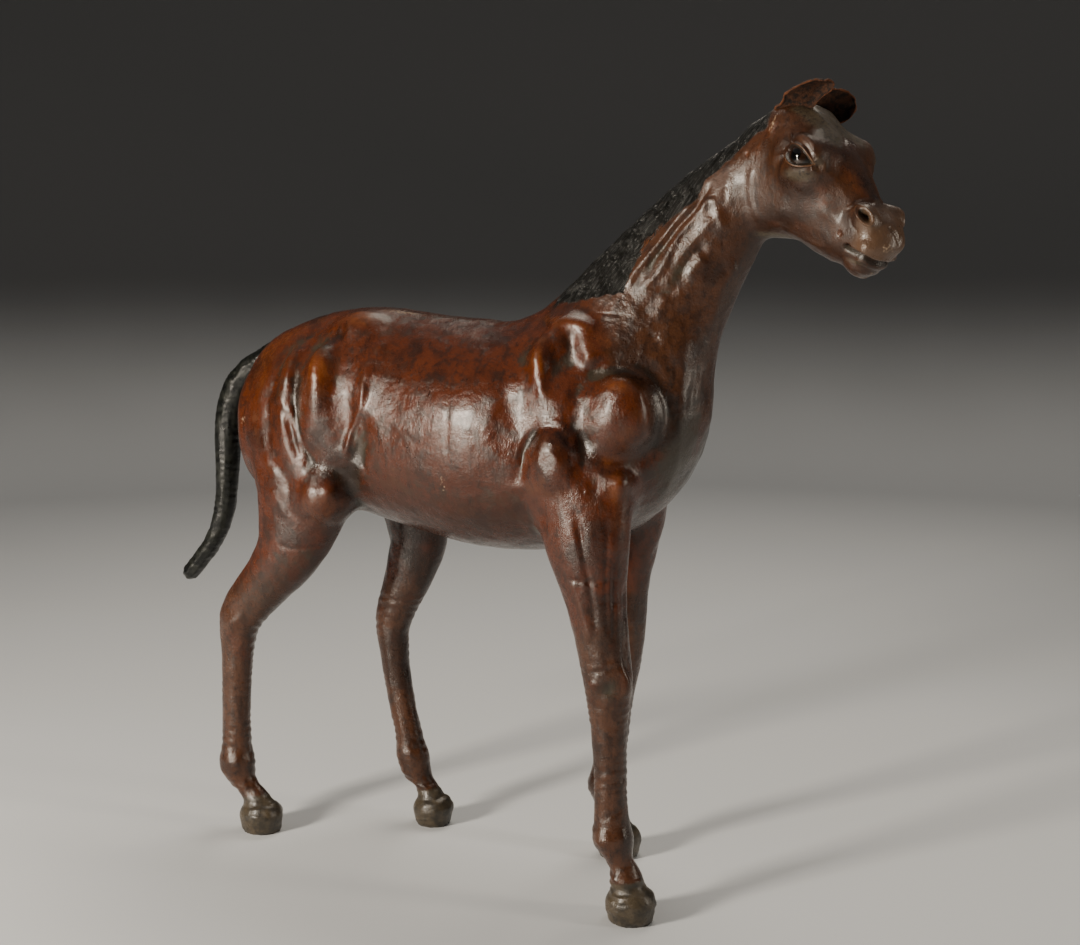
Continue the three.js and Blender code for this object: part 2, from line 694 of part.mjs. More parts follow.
// The almond opening between the lids, from the middle of the eyeball out. Its handles stand at these
// shares of the half length and the half height.
function eyeOpening(side) {
  const [a, b] = [EYE_OPENING_LENGTH / 2, EYE_OPENING_HEIGHT / 2];
  const [back, front, bow] = [-0.6 * a, 0.5 * a, 1.3 * b];
  const almond = new THREE.Shape();
  almond.moveTo(-a, 0);
  almond.bezierCurveTo(back, -bow, front, -bow, a, 0);
  almond.bezierCurveTo(front, bow, back, bow, -a, 0);
  const extrusion = { depth: EYE_DIAMETER, bevelEnabled: false, curveSegments: 6 };
  return solidOfGeometry(new THREE.ExtrudeGeometry(almond, extrusion), eyeFrame(side));
}

// An ear is a leaf of leather, cupped across and curled along its length. Its root has this share of
// the full width and widens at this rate. The rounding of its tip starts at this share of the length.
const LEAF = { root: 0.45, widening: 2.4, tipFrom: 0.4, tipLoss: 0.86, tipPower: 2.6, cup: 0.2, curl: 0.12 };

function earLeaf(share, gap) {
  const length = EAR_LENGTH * share;
  const ROWS = 9;
  const COLUMNS = 6;
  const [half, thick] = [EAR_WIDTH / 2, EAR_THICKNESS / 2 + gap];
  const widthAt = (out) => {
    const tip = Math.max((out - LEAF.tipFrom) / (1 - LEAF.tipFrom), 0);
    const rounding = Math.sqrt(1 - LEAF.tipLoss * tip ** LEAF.tipPower);
    return half * Math.min(1, LEAF.root + LEAF.widening * out) * rounding;
  };
  const points = [];
  const faces = [];
  for (const face of [1, -1])
    for (let i = 0; i <= ROWS; i++)
      for (let j = 0; j <= COLUMNS; j++) {
        const t = i / ROWS;
        const along = -EAR_ROOT_DEPTH - gap + t * (length + EAR_ROOT_DEPTH + 2 * gap);
        const out = Math.min(Math.max(along / length, 0), 1);
        const width = widthAt(out) + gap;
        const v = (2 * j) / COLUMNS - 1;
        const cup = EAR_WIDTH * LEAF.cup * v * v * Math.min(out * 3, 1);
        const curl = LEAF.curl * length * out * out;
        points.push([along, width * v, cup - curl + face * thick]);
      }
  const at = (face, i, j) => (face * (ROWS + 1) + i) * (COLUMNS + 1) + j;
  const quad = (a, b, c, d) => faces.push([a, b, c], [a, c, d]);
  for (let i = 0; i < ROWS; i++)
    for (let j = 0; j < COLUMNS; j++) {
      quad(at(0, i, j), at(0, i + 1, j), at(0, i + 1, j + 1), at(0, i, j + 1));
      quad(at(1, i, j), at(1, i, j + 1), at(1, i + 1, j + 1), at(1, i + 1, j));
    }
  for (let i = 0; i < ROWS; i++) {
    quad(at(0, i, 0), at(1, i, 0), at(1, i + 1, 0), at(0, i + 1, 0));
    quad(at(0, i, COLUMNS), at(0, i + 1, COLUMNS), at(1, i + 1, COLUMNS), at(1, i, COLUMNS));
  }
  for (let j = 0; j < COLUMNS; j++) {
    quad(at(0, 0, j), at(0, 0, j + 1), at(1, 0, j + 1), at(1, 0, j));
    quad(at(0, ROWS, j), at(1, ROWS, j), at(1, ROWS, j + 1), at(0, ROWS, j + 1));
  }
  return { points, faces };
}

function ear(name, gap) {
  const { root, along, hollow, share } = EARS[name];
  const x = new THREE.Vector3(...along).normalize();
  const z = new THREE.Vector3(...hollow).addScaledVector(x, -x.dot(new THREE.Vector3(...hollow))).normalize();
  const y = new THREE.Vector3().crossVectors(z, x);
  const place = new THREE.Vector3(...root).multiplyScalar(SHARE);
  const frame = inHead().multiply(new THREE.Matrix4().makeBasis(x, y, z).setPosition(place));
  const { points, faces } = earLeaf(share, gap);
  const placed = points.map((p) => new THREE.Vector3(...p).applyMatrix4(frame).toArray());
  return solid({ points: placed, faces });
}

// The box round some stations, with room on every side.
function boxRound(stations, room) {
  const reach = (s) => Math.max(s[3], s[4]) + room;
  return [
    [0, 1, 2].map((k) => Math.min(...stations.map((s) => s[k] - reach(s)))),
    [0, 1, 2].map((k) => Math.max(...stations.map((s) => s[k] + reach(s)))),
  ];
}

// The tail runs on into the rump by its root, straight back from its first station. The root is a
// little thinner.
function tailMesh() {
  const ROOT_TAPER = 0.9;
  const [first, second] = TAIL;
  const length = Math.hypot(second[0] - first[0], second[2] - first[2]);
  const back = TAIL_ROOT_DEPTH / SHARE / length;
  const root = first.map((v, k) => (k < 3 ? v - back * (second[k] - v) : v * ROOT_TAPER));
  const girth = TAIL_THICKNESS / SHARE / TAIL_DRAWN_THICKNESS;
  const stations = [root, ...TAIL].map(([x, y, z, depth, width]) => [x, y, z, depth * girth, width * girth]);
  const [low, high] = boxRound(stations, 2 * CELL);
  return scaled(thinOut(surfaceNet(limb(stations), low, high, 0.9 * CELL), { most: TAIL_FACES }));
}

// Faces within this far of the poll belong to the head, and so many times the care is taken with them.
const HEAD_CARE = { behind: 30, below: 140, care: 9 };

function bodySolid(tail) {
  const headStations = SKULL.map(([x, y, z, ...radii]) => [
    ...new THREE.Vector3(x, y, z).applyMatrix4(headFrame).toArray(),
    ...radii,
  ]);
  const all = [...TORSO, ...NECK, ...headStations, ...Object.values(LEGS).flat()];
  const [low, high] = boxRound(all, 4 * CELL);
  const inHeadPart = ([x, , z]) => x > POLL[0] - HEAD_CARE.behind && z > POLL[2] - HEAD_CARE.below;
  const headCare = (point) => (inHeadPart(point) ? HEAD_CARE.care : 1);
  const skin = thinOut(surfaceNet(bodyField(), low, high, CELL), { most: BODY_FACES, careAt: headCare });
  const floor = solidOfGeometry(
    new THREE.BoxGeometry(2 * WITHERS_HEIGHT, WITHERS_HEIGHT, WITHERS_HEIGHT),
    new THREE.Matrix4().makeTranslation(0, 0, -WITHERS_HEIGHT / 2),
  );
  let body = solid(scaled(skin)).subtract(solid(grown(tail, FIT_GAP)));
  for (const side of [1, -1]) body = body.subtract(eyeball(side, FIT_GAP)).subtract(eyeOpening(side));
  for (const name of Object.keys(EARS)) body = body.subtract(ear(name, FIT_GAP));
  return solid(thinOut(meshData(body.subtract(floor)), { longest: FIT_GAP / 4 }));
}

// The origin is under the middle of the figure, on the plane of its soles.
function standOnOrigin(group) {
  const box = new THREE.Box3().setFromObject(group);
  group.position.set(-(box.min.x + box.max.x) / 2, -(box.min.y + box.max.y) / 2, -box.min.z);
}

const tail = tailMesh();
const horse = new THREE.Group();
horse.name = "leather_horse";
horse.add(
  meshOf("horse_body", bodySolid(tail), COLOURS.leather, 0.35),
  meshOf("tail", solid(tail), COLOURS.tail, 0.4),
  meshOf("eye_left", eyeball(1, 0), COLOURS.glass, 0.05),
  meshOf("eye_right", eyeball(-1, 0), COLOURS.glass, 0.05),
);
for (const name of Object.keys(EARS)) horse.add(meshOf(name, ear(name, 0), COLOURS.ear, 0.8));
standOnOrigin(horse);

export default horse;
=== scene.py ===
# A standing horse about 75 cm high, shaped over a hard core and covered in one skin of polished
# brown leather. Its glass eyes, cut leather ears and black leather tail are set into the skin.
# +X runs to the nose, +Y to the horse's left side and +Z up.
import math

import bpy
import numpy as np
from mathutils import Matrix, Vector, noise


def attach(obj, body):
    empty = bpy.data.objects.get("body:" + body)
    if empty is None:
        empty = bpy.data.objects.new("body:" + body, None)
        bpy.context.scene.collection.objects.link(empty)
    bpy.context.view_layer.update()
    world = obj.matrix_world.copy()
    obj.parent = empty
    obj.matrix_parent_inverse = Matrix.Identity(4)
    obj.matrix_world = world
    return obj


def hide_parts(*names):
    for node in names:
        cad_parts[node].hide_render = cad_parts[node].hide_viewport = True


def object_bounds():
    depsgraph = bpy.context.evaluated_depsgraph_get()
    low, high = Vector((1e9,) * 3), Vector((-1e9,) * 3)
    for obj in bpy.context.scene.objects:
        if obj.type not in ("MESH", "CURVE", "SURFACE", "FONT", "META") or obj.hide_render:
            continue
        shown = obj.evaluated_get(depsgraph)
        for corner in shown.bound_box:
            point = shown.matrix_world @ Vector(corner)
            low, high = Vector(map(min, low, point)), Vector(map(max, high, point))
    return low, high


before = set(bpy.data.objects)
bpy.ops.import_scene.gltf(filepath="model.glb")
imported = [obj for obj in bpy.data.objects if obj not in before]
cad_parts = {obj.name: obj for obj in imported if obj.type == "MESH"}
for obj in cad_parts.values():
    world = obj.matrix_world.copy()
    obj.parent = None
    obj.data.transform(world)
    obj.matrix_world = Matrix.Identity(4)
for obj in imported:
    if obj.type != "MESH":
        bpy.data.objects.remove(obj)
cad_low, cad_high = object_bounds()
BOX_MM = np.array([cad_low, cad_high]) * 1000

# The camera stands at the horse's right shoulder, a little above its back, where the photograph
# was taken from. The relief of the skin is drawn in this view, in pixels of the 1080 x 945 picture,
# and carved into whatever part of the skin lies behind each line.
VIEW_WIDTH, VIEW_HEIGHT = 1080, 945
LENS_MM, SENSOR_MM = 50, 36
CAMERA_AT = np.array([730.3, -1254.6, 600.0])
LOOK_DOWN_DEG, LOOK_LEFT_DEG = 8.05, 28.5

camera_data = bpy.data.cameras.new("camera")
camera_data.lens = LENS_MM
camera_data.sensor_width = SENSOR_MM
camera_data.sensor_fit = "HORIZONTAL"
camera_data.clip_start = 0.05
camera = bpy.data.objects.new("camera", camera_data)
camera.location = CAMERA_AT / 1000
camera.rotation_euler = (math.radians(90 - LOOK_DOWN_DEG), 0, math.radians(LOOK_LEFT_DEG))
bpy.context.scene.collection.objects.link(camera)
bpy.context.scene.camera = camera


def picture_of(points):
    """The place in the picture, in pixels, of points in millimetres."""
    turn, down = math.radians(LOOK_LEFT_DEG), math.radians(LOOK_DOWN_DEG)
    ahead = np.array([-math.sin(turn) * math.cos(down), math.cos(turn) * math.cos(down), -math.sin(down)])
    right = np.array([math.cos(turn), math.sin(turn), 0])
    up = np.cross(right, ahead)
    away = points - CAMERA_AT
    scale = VIEW_WIDTH * LENS_MM / SENSOR_MM / (away @ ahead)
    return np.stack([VIEW_WIDTH / 2 + scale * (away @ right), VIEW_HEIGHT / 2 - scale * (away @ up)], 1)


# The skin is one piece of leather over the whole horse. It starts from the solid of the body with
# its sockets filled, is given an even net of small faces, and gets finer ones on the head, the mane
# and the hooves, where the leather has been worked most.
SKIN_NET = 0.0024
POLL = np.array([283.03, 0.22, 712.0])
HEAD_TURN = math.radians(20)
FORWARD = np.array([math.cos(HEAD_TURN), -math.sin(HEAD_TURN), 0])
LEFTWARD = np.array([math.sin(HEAD_TURN), math.cos(HEAD_TURN), 0])
UPWARD = np.array([0.0, 0.0, 1.0])
HEAD_BACK, HEAD_BOTTOM = -24, -135
CREST_START, CREST_END = 76, 284
EYE_PLACE = (54, 30, -29)
EYE_RADIUS = 15.0


def from_head(ahead, left, up):
    """A place in the head's own frame, as a point of the whole horse."""
    return POLL + ahead * FORWARD + left * LEFTWARD + up * UPWARD


def only(*objects):
    bpy.ops.object.select_all(action="DESELECT")
    for item in objects:
        item.select_set(True)
    bpy.context.view_layer.objects.active = objects[0]


def finish_with(item, kind, **settings):
    """Adds one modifier and applies it."""
    only(item)
    modifier = item.modifiers.new(kind.lower(), kind)
    for key, value in settings.items():
        setattr(modifier, key, value)
    bpy.ops.object.modifier_apply(modifier=modifier.name)


def copy_of(node, name):
    """A merged copy of a solid of the frame, as a new piece."""
    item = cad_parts[node].copy()
    item.data = item.data.copy()
    item.name = item.data.name = name
    item.parent = None
    item.matrix_world = Matrix.Identity(4)
    item.hide_render = False
    bpy.context.scene.collection.objects.link(item)
    only(item)
    bpy.ops.object.mode_set(mode="EDIT")
    bpy.ops.mesh.select_all(action="SELECT")
    bpy.ops.mesh.remove_doubles(threshold=0.00001)
    bpy.ops.object.mode_set(mode="OBJECT")
    item.data.materials.clear()
    return item


def read_points(item):
    flat = np.empty(len(item.data.vertices) * 3)
    item.data.vertices.foreach_get("co", flat)
    return flat.reshape(-1, 3) * 1000


def write_points(item, points):
    item.data.vertices.foreach_set("co", (points / 1000).ravel())
    item.data.update()


def read_normals(item):
    flat = np.empty(len(item.data.vertices) * 3)
    item.data.vertex_normals.foreach_get("vector", flat)
    return flat.reshape(-1, 3)


def edges_of(item):
    flat = np.empty(len(item.data.edges) * 2, dtype=np.int64)
    item.data.edges.foreach_get("vertices", flat)
    return flat.reshape(-1, 2)


def neighbour_mean(values, edges):
    """The mean of each point's neighbours."""
    count = np.bincount(edges.ravel(), minlength=len(values))
    ends = np.concatenate([edges[:, 0], edges[:, 1]])
    others = np.concatenate([edges[:, 1], edges[:, 0]])
    columns = np.atleast_2d(values.T)
    sums = np.stack([np.bincount(ends, weights=c[others], minlength=len(values)) for c in columns])
    return (sums / np.maximum(count, 1)).T.reshape(values.shape)


def relax(item, rounds, where=None):
    """Evens out a surface without shrinking it: each round moves the points in, then back out."""
    points, edges = read_points(item), edges_of(item)
    weight = np.ones(len(points)) if where is None else where(points).astype(float)
    for _ in range(rounds):
        for amount in (0.5, -0.52):
            points += (amount * weight)[:, None] * (neighbour_mean(points, edges) - points)
    write_points(item, points)


def even_net(item, size, rounds):
    """Gives a closed surface a net of even faces, then evens it out."""
    finish_with(item, "REMESH", mode="VOXEL", voxel_size=size, adaptivity=0)
    relax(item, rounds)


def finer(item, wanted):
    """Divides each face that has all its corners where a function of the points says so."""
    inside = wanted(read_points(item))
    only(item)
    item.data.vertices.foreach_set("select", inside)
    item.data.edges.foreach_set("select", inside[edges_of(item)].all(1))
    corners = np.empty(len(item.data.loops), dtype=np.int64)
    item.data.loops.foreach_get("vertex_index", corners)
    starts = np.empty(len(item.data.polygons), dtype=np.int64)
    item.data.polygons.foreach_get("loop_start", starts)
    item.data.polygons.foreach_set("select", np.minimum.reduceat(inside[corners].astype(int), starts) > 0)
    bpy.ops.object.mode_set(mode="EDIT")
    bpy.ops.mesh.subdivide(number_cuts=1, quadcorner="INNERVERT")
    bpy.ops.object.mode_set(mode="OBJECT")


def in_head(points):
    """Places in the head's own frame: ahead, left and up from the poll."""
    away = points - POLL
    return np.stack([away @ FORWARD, away @ LEFTWARD, away[:, 2]], 1)


def ramp(low, high, values):
    t = np.clip((values - low) / (high - low), 0, 1)
    return t * t * (3 - 2 * t)


def bell(offset, width):
    return np.exp(-((offset / width) ** 2))


skin = copy_of("horse_body", "leather_skin")
# Balls that fill the sockets of the eyes, ears and tail, as place and radius in millimetres
SOCKET_BALLS = (
    (from_head(EYE_PLACE[0], -EYE_PLACE[1], EYE_PLACE[2]), 16.2),
    (from_head(*EYE_PLACE), 16.2),
    (from_head(17, -13, 8), 8.5),
    (from_head(20, 13, 8), 8.5),
    ((-262.0, 0.2, 488.0), 17.0),
    ((-254.0, 0.2, 494.0), 16.0),
)
plugs = []
for place, radius in SOCKET_BALLS:
    bpy.ops.mesh.primitive_uv_sphere_add(
        segments=32, ring_count=16, radius=radius / 1000, location=Vector(place) / 1000
    )
    plugs.append(bpy.context.object)
only(skin, *plugs)
bpy.ops.object.join()
even_net(skin, SKIN_NET, 22)

# The lower border of the mane, seen from the side, as x and z
MANE_BORDER = np.array([
    (78, 553), (84, 559), (139, 569), (156, 572), (167, 602), (182, 624),
    (202, 641), (219, 652), (226, 669), (240, 680), (255, 693), (275, 708),
])


def above_mane_border(points):
    return points[:, 2] - np.interp(points[:, 0], *MANE_BORDER.T)


def near_head(points):
    ahead, left, up = in_head(points).T
    return (ahead > HEAD_BACK) & (up > HEAD_BOTTOM)


def near_crest(points):
    return (above_mane_border(points) > -26) & (points[:, 0] > CREST_START) & ~near_head(points)


def near_hooves(points):
    return points[:, 2] < 50


def most_worked(points):
    return near_head(points) | near_crest(points) | near_hooves(points)


finer(skin, most_worked)
relax(skin, 4, most_worked)


# Relief drawn in the picture, carved into the right side and, but for the last two tables, its
# mirror image into the left side. A line has its pixels, its height in millimetres, negative for a
# groove, and its half-width in pixels. A spot has its middle, half-sizes, lean and height.
def curve_through(line, steps=6):
    """The points of a smooth curve through the given ones."""
    line = np.array(line, float)
    padded = np.vstack([2 * line[0] - line[1], line, 2 * line[-1] - line[-2]])
    points = []
    for p0, p1, p2, p3 in zip(padded, padded[1:], padded[2:], padded[3:]):
        for t in np.arange(steps) / steps:
            bend = 2 * p0 - 5 * p1 + 4 * p2 - p3 + t * (3 * (p1 - p2) + p3 - p0)
            points.append(p1 + 0.5 * t * (p2 - p0 + t * bend))
    return np.array(points + [line[-1]])


def off_curve(places, curve, reach):
    """How far places lie from a curve, up to a reach, and how far along it, from 0 to 1."""
    nearest = np.full(len(places), float(reach))
    along = np.zeros(len(places))
    low, high = curve.min(0) - reach, curve.max(0) + reach
    close = np.flatnonzero(((places > low) & (places < high)).all(1))
    spans = np.diff(curve, axis=0)
    lengths = np.hypot(*spans.T)
    starts = np.concatenate([[0], np.cumsum(lengths)])
    for a, span, length, start in zip(curve, spans, lengths, starts):
        away = places[close] - a
        t = np.clip(away @ span / length ** 2, 0, 1)
        gap = np.hypot(*(away - t[:, None] * span).T)
        better = gap < nearest[close]
        nearest[close[better]] = gap[better]
        along[close[better]] = (start + t[better] * length) / starts[-1]
    return nearest, along


def line_height(places, line, height, width):
    away, along = off_curve(places, curve_through(line), 3 * width)
    ends = ramp(0, 0.12, along) * ramp(1, 0.88, along) if len(line) > 2 else 1.0
    return np.where(away < 3 * width, height * ends * bell(away, width), 0)


def spot_height(places, x, y, half_wide, half_high, lean, height):
    """A soft mound or dent, with its long way turned clockwise by so many degrees."""
    turn = math.radians(lean)
    away = places - (x, y)
    u = (away[:, 0] * math.cos(turn) + away[:, 1] * math.sin(turn)) / half_wide
    v = (away[:, 1] * math.cos(turn) - away[:, 0] * math.sin(turn)) / half_high
    return height * np.exp(-(u * u + v * v))


def patches(places, table):
    return sum(spot_height(places, *spot) for spot in table)


def seen_side(points, normals):
    """How squarely each point of the right side faces the camera, from 0 to 1."""
    away = points - CAMERA_AT
    facing = -(normals * away).sum(1) / np.linalg.norm(away, axis=1)
    return ramp(0.02, 0.25, facing)


def mirrored(values):
    return values * (1, -1, 1)


def head_mirrored(vectors):
    return vectors - 2 * (vectors @ LEFTWARD)[:, None] * LEFTWARD


def on_picture(points, normals):
    """Where each point shows in the picture, its left half through its mirror image, and how well."""
    in_face = in_head(points)
    is_head = (in_face[:, 0] > HEAD_BACK + 2) & (in_face[:, 2] > HEAD_BOTTOM)
    left_head, left_body = is_head & (in_face[:, 1] > 0), ~is_head & (points[:, 1] > 0)
    shown, facing = points.copy(), normals.copy()
    shown[left_head] = POLL + head_mirrored(points[left_head] - POLL)
    facing[left_head] = head_mirrored(normals[left_head])
    shown[left_body], facing[left_body] = mirrored(points[left_body]), mirrored(normals[left_body])
    return picture_of(shown), seen_side(shown, facing)


SHOULDER_LINES = (
    ([(598, 373), (608, 367), (620, 365), (634, 369), (648, 380), (658, 397), (662, 414), (662, 432),
      (657, 448)], 1.0, 2.4),
    ([(594, 392), (600, 381), (609, 374), (620, 372), (634, 377), (646, 389), (652, 404), (654, 420),
      (652, 438)], -1.5, 5.5),
    ([(584, 396), (583, 416), (586, 436), (592, 450)], -1.0, 9),
    ([(620, 470), (621, 500), (620, 530), (616, 560)], 2.0, 13),
    ([(517, 462), (520, 446), (526, 433), (535, 425), (545, 421), (556, 422), (566, 428), (573, 438),
      (578, 450)], 1.0, 2.4),
    ([(523, 466), (527, 447), (535, 435), (546, 429), (557, 430), (566, 439), (572, 452)], -1.4, 4.6),
    ([(546, 323), (562, 321), (580, 323), (597, 331)], 2.0, 8),
    ([(600, 320), (620, 323), (637, 332), (650, 348)], -0.4, 1.6),
    ([(604, 327), (621, 330), (635, 339), (644, 351)], -0.4, 1.6),
    ([(598, 313), (622, 316), (643, 326), (658, 345)], -0.4, 1.6),
    ([(664, 398), (668, 382), (662, 366), (650, 354), (636, 350)], 0.8, 4),
    ([(676, 330), (668, 352), (676, 374), (672, 392)], -0.9, 5),
    ([(690, 335), (684, 360), (680, 388), (684, 410)], 1.0, 5),
    ([(700, 360), (692, 396), (688, 430), (680, 466)], -0.8, 3.5),
    ([(690, 410), (684, 440), (672, 474), (662, 500)], 0.8, 4),
    ([(574, 505), (580, 530), (588, 556), (596, 590)], -1.2, 5),
)
SHOULDER_SPOTS = (
    (539, 362, 9, 22, -6, 3.2), (543, 391, 6, 11, 0, 2.0), (584, 344, 9, 17, -18, 2.8),
    (588, 360, 5, 6, 0, 1.4), (572, 364, 10, 9, 20, -1.2), (560, 343, 7, 11, 0, 2.6),
    (548, 466, 19, 26, 0, 2.6), (543, 452, 8, 10, 0, 0.8), (600, 424, 12, 15, 0, 0.9),
    (637, 420, 7, 14, 0, 0.8), (620, 434, 5, 16, 0, -0.5), (621, 482, 8, 9, 0, 1.6),
    (528, 404, 18, 9, -15, -1.2), (593, 484, 7, 20, 0, -1.4), (582, 460, 7, 24, 0, -1.8),
    (706, 424, 10, 20, 0, 2.0), (705, 478, 18, 34, 25, -5.0), (674, 350, 14, 20, 0, 3.0),
    (668, 366, 6, 12, -20, -0.9), (652, 338, 9, 5, 20, -0.7),
)
THIGH_LINES = (
    ([(327, 342), (312, 347), (299, 359), (294, 376), (294, 393), (297, 428), (306, 455), (318, 466)],
     -1.4, 4.2),
    ([(290, 402), (295, 428), (301, 448), (308, 462)], 1.7, 2.4),
    ([(276, 400), (284, 414), (290, 428), (294, 445), (300, 460)], -1.1, 3.2),
    ([(322, 329), (303, 339), (289, 361), (282, 383), (281, 400)], -1.0, 7),
    ([(258, 352), (250, 384), (245, 412), (248, 438), (256, 459), (265, 481)], -1.1, 4.5),
    ([(364, 384), (360, 408), (353, 428), (347, 446), (345, 462)], 1.7, 2.8),
    ([(357, 392), (351, 414), (344, 432), (339, 452)], -0.9, 5),
    ([(362, 426), (356, 440), (353, 452)], 1.3, 2),
    ([(352, 461), (358, 467), (364, 471)], 1.0, 1.8),
    ([(367, 440), (362, 456), (366, 476)], -0.9, 2.5),
    ([(258, 449), (270, 460), (282, 473), (289, 488)], -0.6, 3.5),
    ([(271, 488), (278, 502), (286, 517)], 0.9, 3),
    ([(286, 482), (289, 498), (289, 516)], -0.8, 3.5),
    ([(300, 478), (306, 490), (304, 506), (310, 518)], 0.8, 4),
    ([(334, 470), (348, 478), (364, 484)], -0.8, 5),
    ([(276, 543), (289, 548), (308, 548), (328, 545)], -0.9, 1.4),
    ([(276, 543), (271, 560), (262, 580)], -0.5, 1.4),
)
THIGH_SPOTS = (
    (361, 315, 17, 9, 0, 2.2), (318, 372, 14, 26, 8, 2.6), (310, 420, 8, 24, 5, 2.0),
    (282, 414, 7, 26, -6, 2.2), (312, 500, 14, 20, 8, 2.6), (329, 493, 8, 9, 0, 1.8),
    (322, 519, 16, 10, 0, 1.6), (353, 455, 9, 30, 8, -2.2), (340, 380, 12, 30, 0, -0.8),
    (303, 345, 16, 6, -30, -1.2), (268, 380, 8, 30, 8, 1.2), (388, 400, 16, 60, 0, -1.0),
    (300, 482, 6, 10, 0, -1.0), (232, 622, 8, 8, 0, 2.0), (398, 640, 8, 8, 0, 1.6),
)
BARREL_LINES = (
    ([(449, 330), (448, 370), (449, 410), (447, 452)], -0.7, 1.3),
    ([(375, 308), (410, 314), (450, 319), (500, 322)], 0.8, 3),
    ([(441, 470), (444, 484), (446, 497)], -0.5, 1.2),
    ([(510, 345), (506, 380), (508, 420)], -0.9, 8),
)
BARREL_SPOTS = ((470, 405, 36, 44, 0, 2.2), (398, 400, 22, 60, 0, -0.7))
NECK_LINES = (
    ([(626, 292), (633, 275), (646, 259), (659, 243), (673, 226), (686, 210), (697, 199)], 2.0, 4.2),
    ([(646, 275), (654, 259), (666, 243), (678, 226), (697, 206), (713, 179)], -1.5, 3.2),
    ([(640, 292), (647, 285), (663, 266), (673, 246), (689, 226), (699, 213), (711, 193)], 1.5, 4),
    ([(662, 292), (673, 279), (679, 262), (693, 243), (706, 226), (718, 215)], 1.2, 5),
    ([(668, 262), (680, 240), (694, 222), (704, 204)], -1.0, 3),
    ([(664, 300), (680, 275), (690, 257), (706, 241)], -1.6, 8),
    ([(687, 278), (695, 267), (704, 257)], 1.5, 7),
    ([(712, 196), (716, 208), (720, 220), (724, 231)], 1.3, 4),
    ([(724, 186), (728, 202), (731, 216)], -1.0, 3),
    ([(741, 164), (741, 190), (742, 212), (750, 224)], -1.3, 2.6),
    ([(754, 252), (746, 275), (736, 300), (727, 330)], -0.7, 5),
    ([(740, 256), (721, 291), (709, 330)], 1.0, 5),
    ([(728, 262), (708, 295), (696, 326)], -0.8, 5),
    ([(655, 318), (668, 300), (684, 292)], 0.8, 5),
    ([(640, 310), (656, 298), (664, 285)], -0.7, 4),
)
MOUTH_LINE = [(843, 244), (849, 249), (856, 253), (865, 258), (875, 263), (890, 265)]
FACE_LINES = (
    ([(813, 103), (826, 113), (836, 125), (844, 136), (846, 147)], -1.0, 1.6),
    ([(810, 107), (822, 118), (832, 129), (840, 141)], 0.8, 2.4),
    ([(790, 140), (799, 136), (808, 139), (816, 147)], 1.0, 1.3),
    ([(783, 138), (791, 131), (802, 129), (814, 135)], -0.8, 2),
    ([(846, 212), (854, 205), (865, 201), (876, 203)], -1.0, 1.5),
    ([(846, 206), (857, 199), (870, 196)], -0.7, 1.5),
    ([(850, 217), (852, 226), (858, 232)], -0.7, 1.6),
    (MOUTH_LINE, -4.6, 2.1),
    ([(848, 246), (858, 250), (867, 254), (878, 259), (890, 261)], 1.2, 1.6),
    ([(855, 259), (866, 264), (878, 268), (886, 269)], 1.3, 2.6),
    ([(889, 226), (896, 236), (900, 247)], -0.9, 1.4),
    ([(852, 270), (862, 277), (874, 276)], -0.8, 1.6),
    ([(752, 165), (750, 185), (752, 205), (760, 222)], 0.8, 3),
    ([(776, 222), (790, 232), (806, 240), (826, 250)], 0.8, 3),
)
FACE_SPOTS = (
    (783, 210, 9, 9, 0, 1.6), (804, 178, 16, 8, -15, -1.8), (864, 247, 6, 5, 0, 1.4),
    (890, 250, 7, 6, 0, 1.2), (839.5, 233.4, 2, 2.6, 0, -1.6), (846, 247, 2.5, 2.5, 0, -1.5),
    (864.5, 246.8, 1.3, 1.3, 0, -0.9), (832, 176, 5, 14, -38, 0.9),
)
RIGHT_LINES = (
    ([(778.5, 112), (774, 125), (768.7, 134.5)], 0.8, 1.8),
    ([(566, 580), (580, 582), (596, 582), (612, 581), (625, 580)], -1.0, 1.3),
    ([(593, 600), (606, 602), (621, 604)], -0.7, 1.1),
    ([(576, 517), (582, 553), (590, 592), (596, 635)], -1.8, 3),
    ([(571, 578), (582, 612), (590, 646)], 1.6, 4),
    ([(607, 514), (607, 545), (606, 580), (606, 610), (609, 642)], -1.3, 2.2),
    ([(614, 560), (613, 592), (613.5, 646)], -1.2, 2),
    ([(624, 584), (624, 625), (625, 660), (632, 690), (629, 713)], -1.5, 1.5),
    ([(588, 674), (604, 671), (616, 667)], -1.0, 1.5),
    ([(589, 683), (600, 685), (608, 684)], 1.0, 1.6),
    ([(598, 694), (606, 694), (614, 692)], -1.0, 1.5),
    ([(620, 668), (625, 682), (624, 698)], 2.0, 3.2),
    ([(594, 706), (606, 712), (620, 716)], -0.8, 1.8),
    ([(614, 775), (622, 777), (628, 776)], -0.9, 1.3),
    ([(600, 822), (610, 816), (622, 811)], -0.9, 1.4),
    ([(598, 868), (610, 866), (624, 868), (636, 866)], -0.8, 1.6),
    ([(608, 878), (624, 884), (645, 880)], 1.3, 2.2),
    ([(607, 894), (621, 899), (643, 896)], 0.9, 1.5),
    ([(612, 903), (622, 906), (640, 903)], -0.7, 1.8),
)
RIGHT_SPOTS = (
    (627, 684, 6, 13, 0, 2.4), (592, 688, 6, 12, 0, 1.6), (608, 690, 9, 8, 0, -1.2),
    (583, 491, 1.4, 1.4, 0, -1.8), (448, 451, 1.6, 1.6, 0, -1.6), (747, 154, 2, 2.6, 0, -0.8),
    (243, 420, 1.2, 5, 25, -0.8), (330, 490, 6, 8, 0, 1.2), (606, 841, 7, 7, 0, 1.2),
    (622, 838, 5, 7, 0, 1.0), (237, 762, 6, 7, 0, 1.6), (250, 762, 4, 6, 0, 1.0),
)


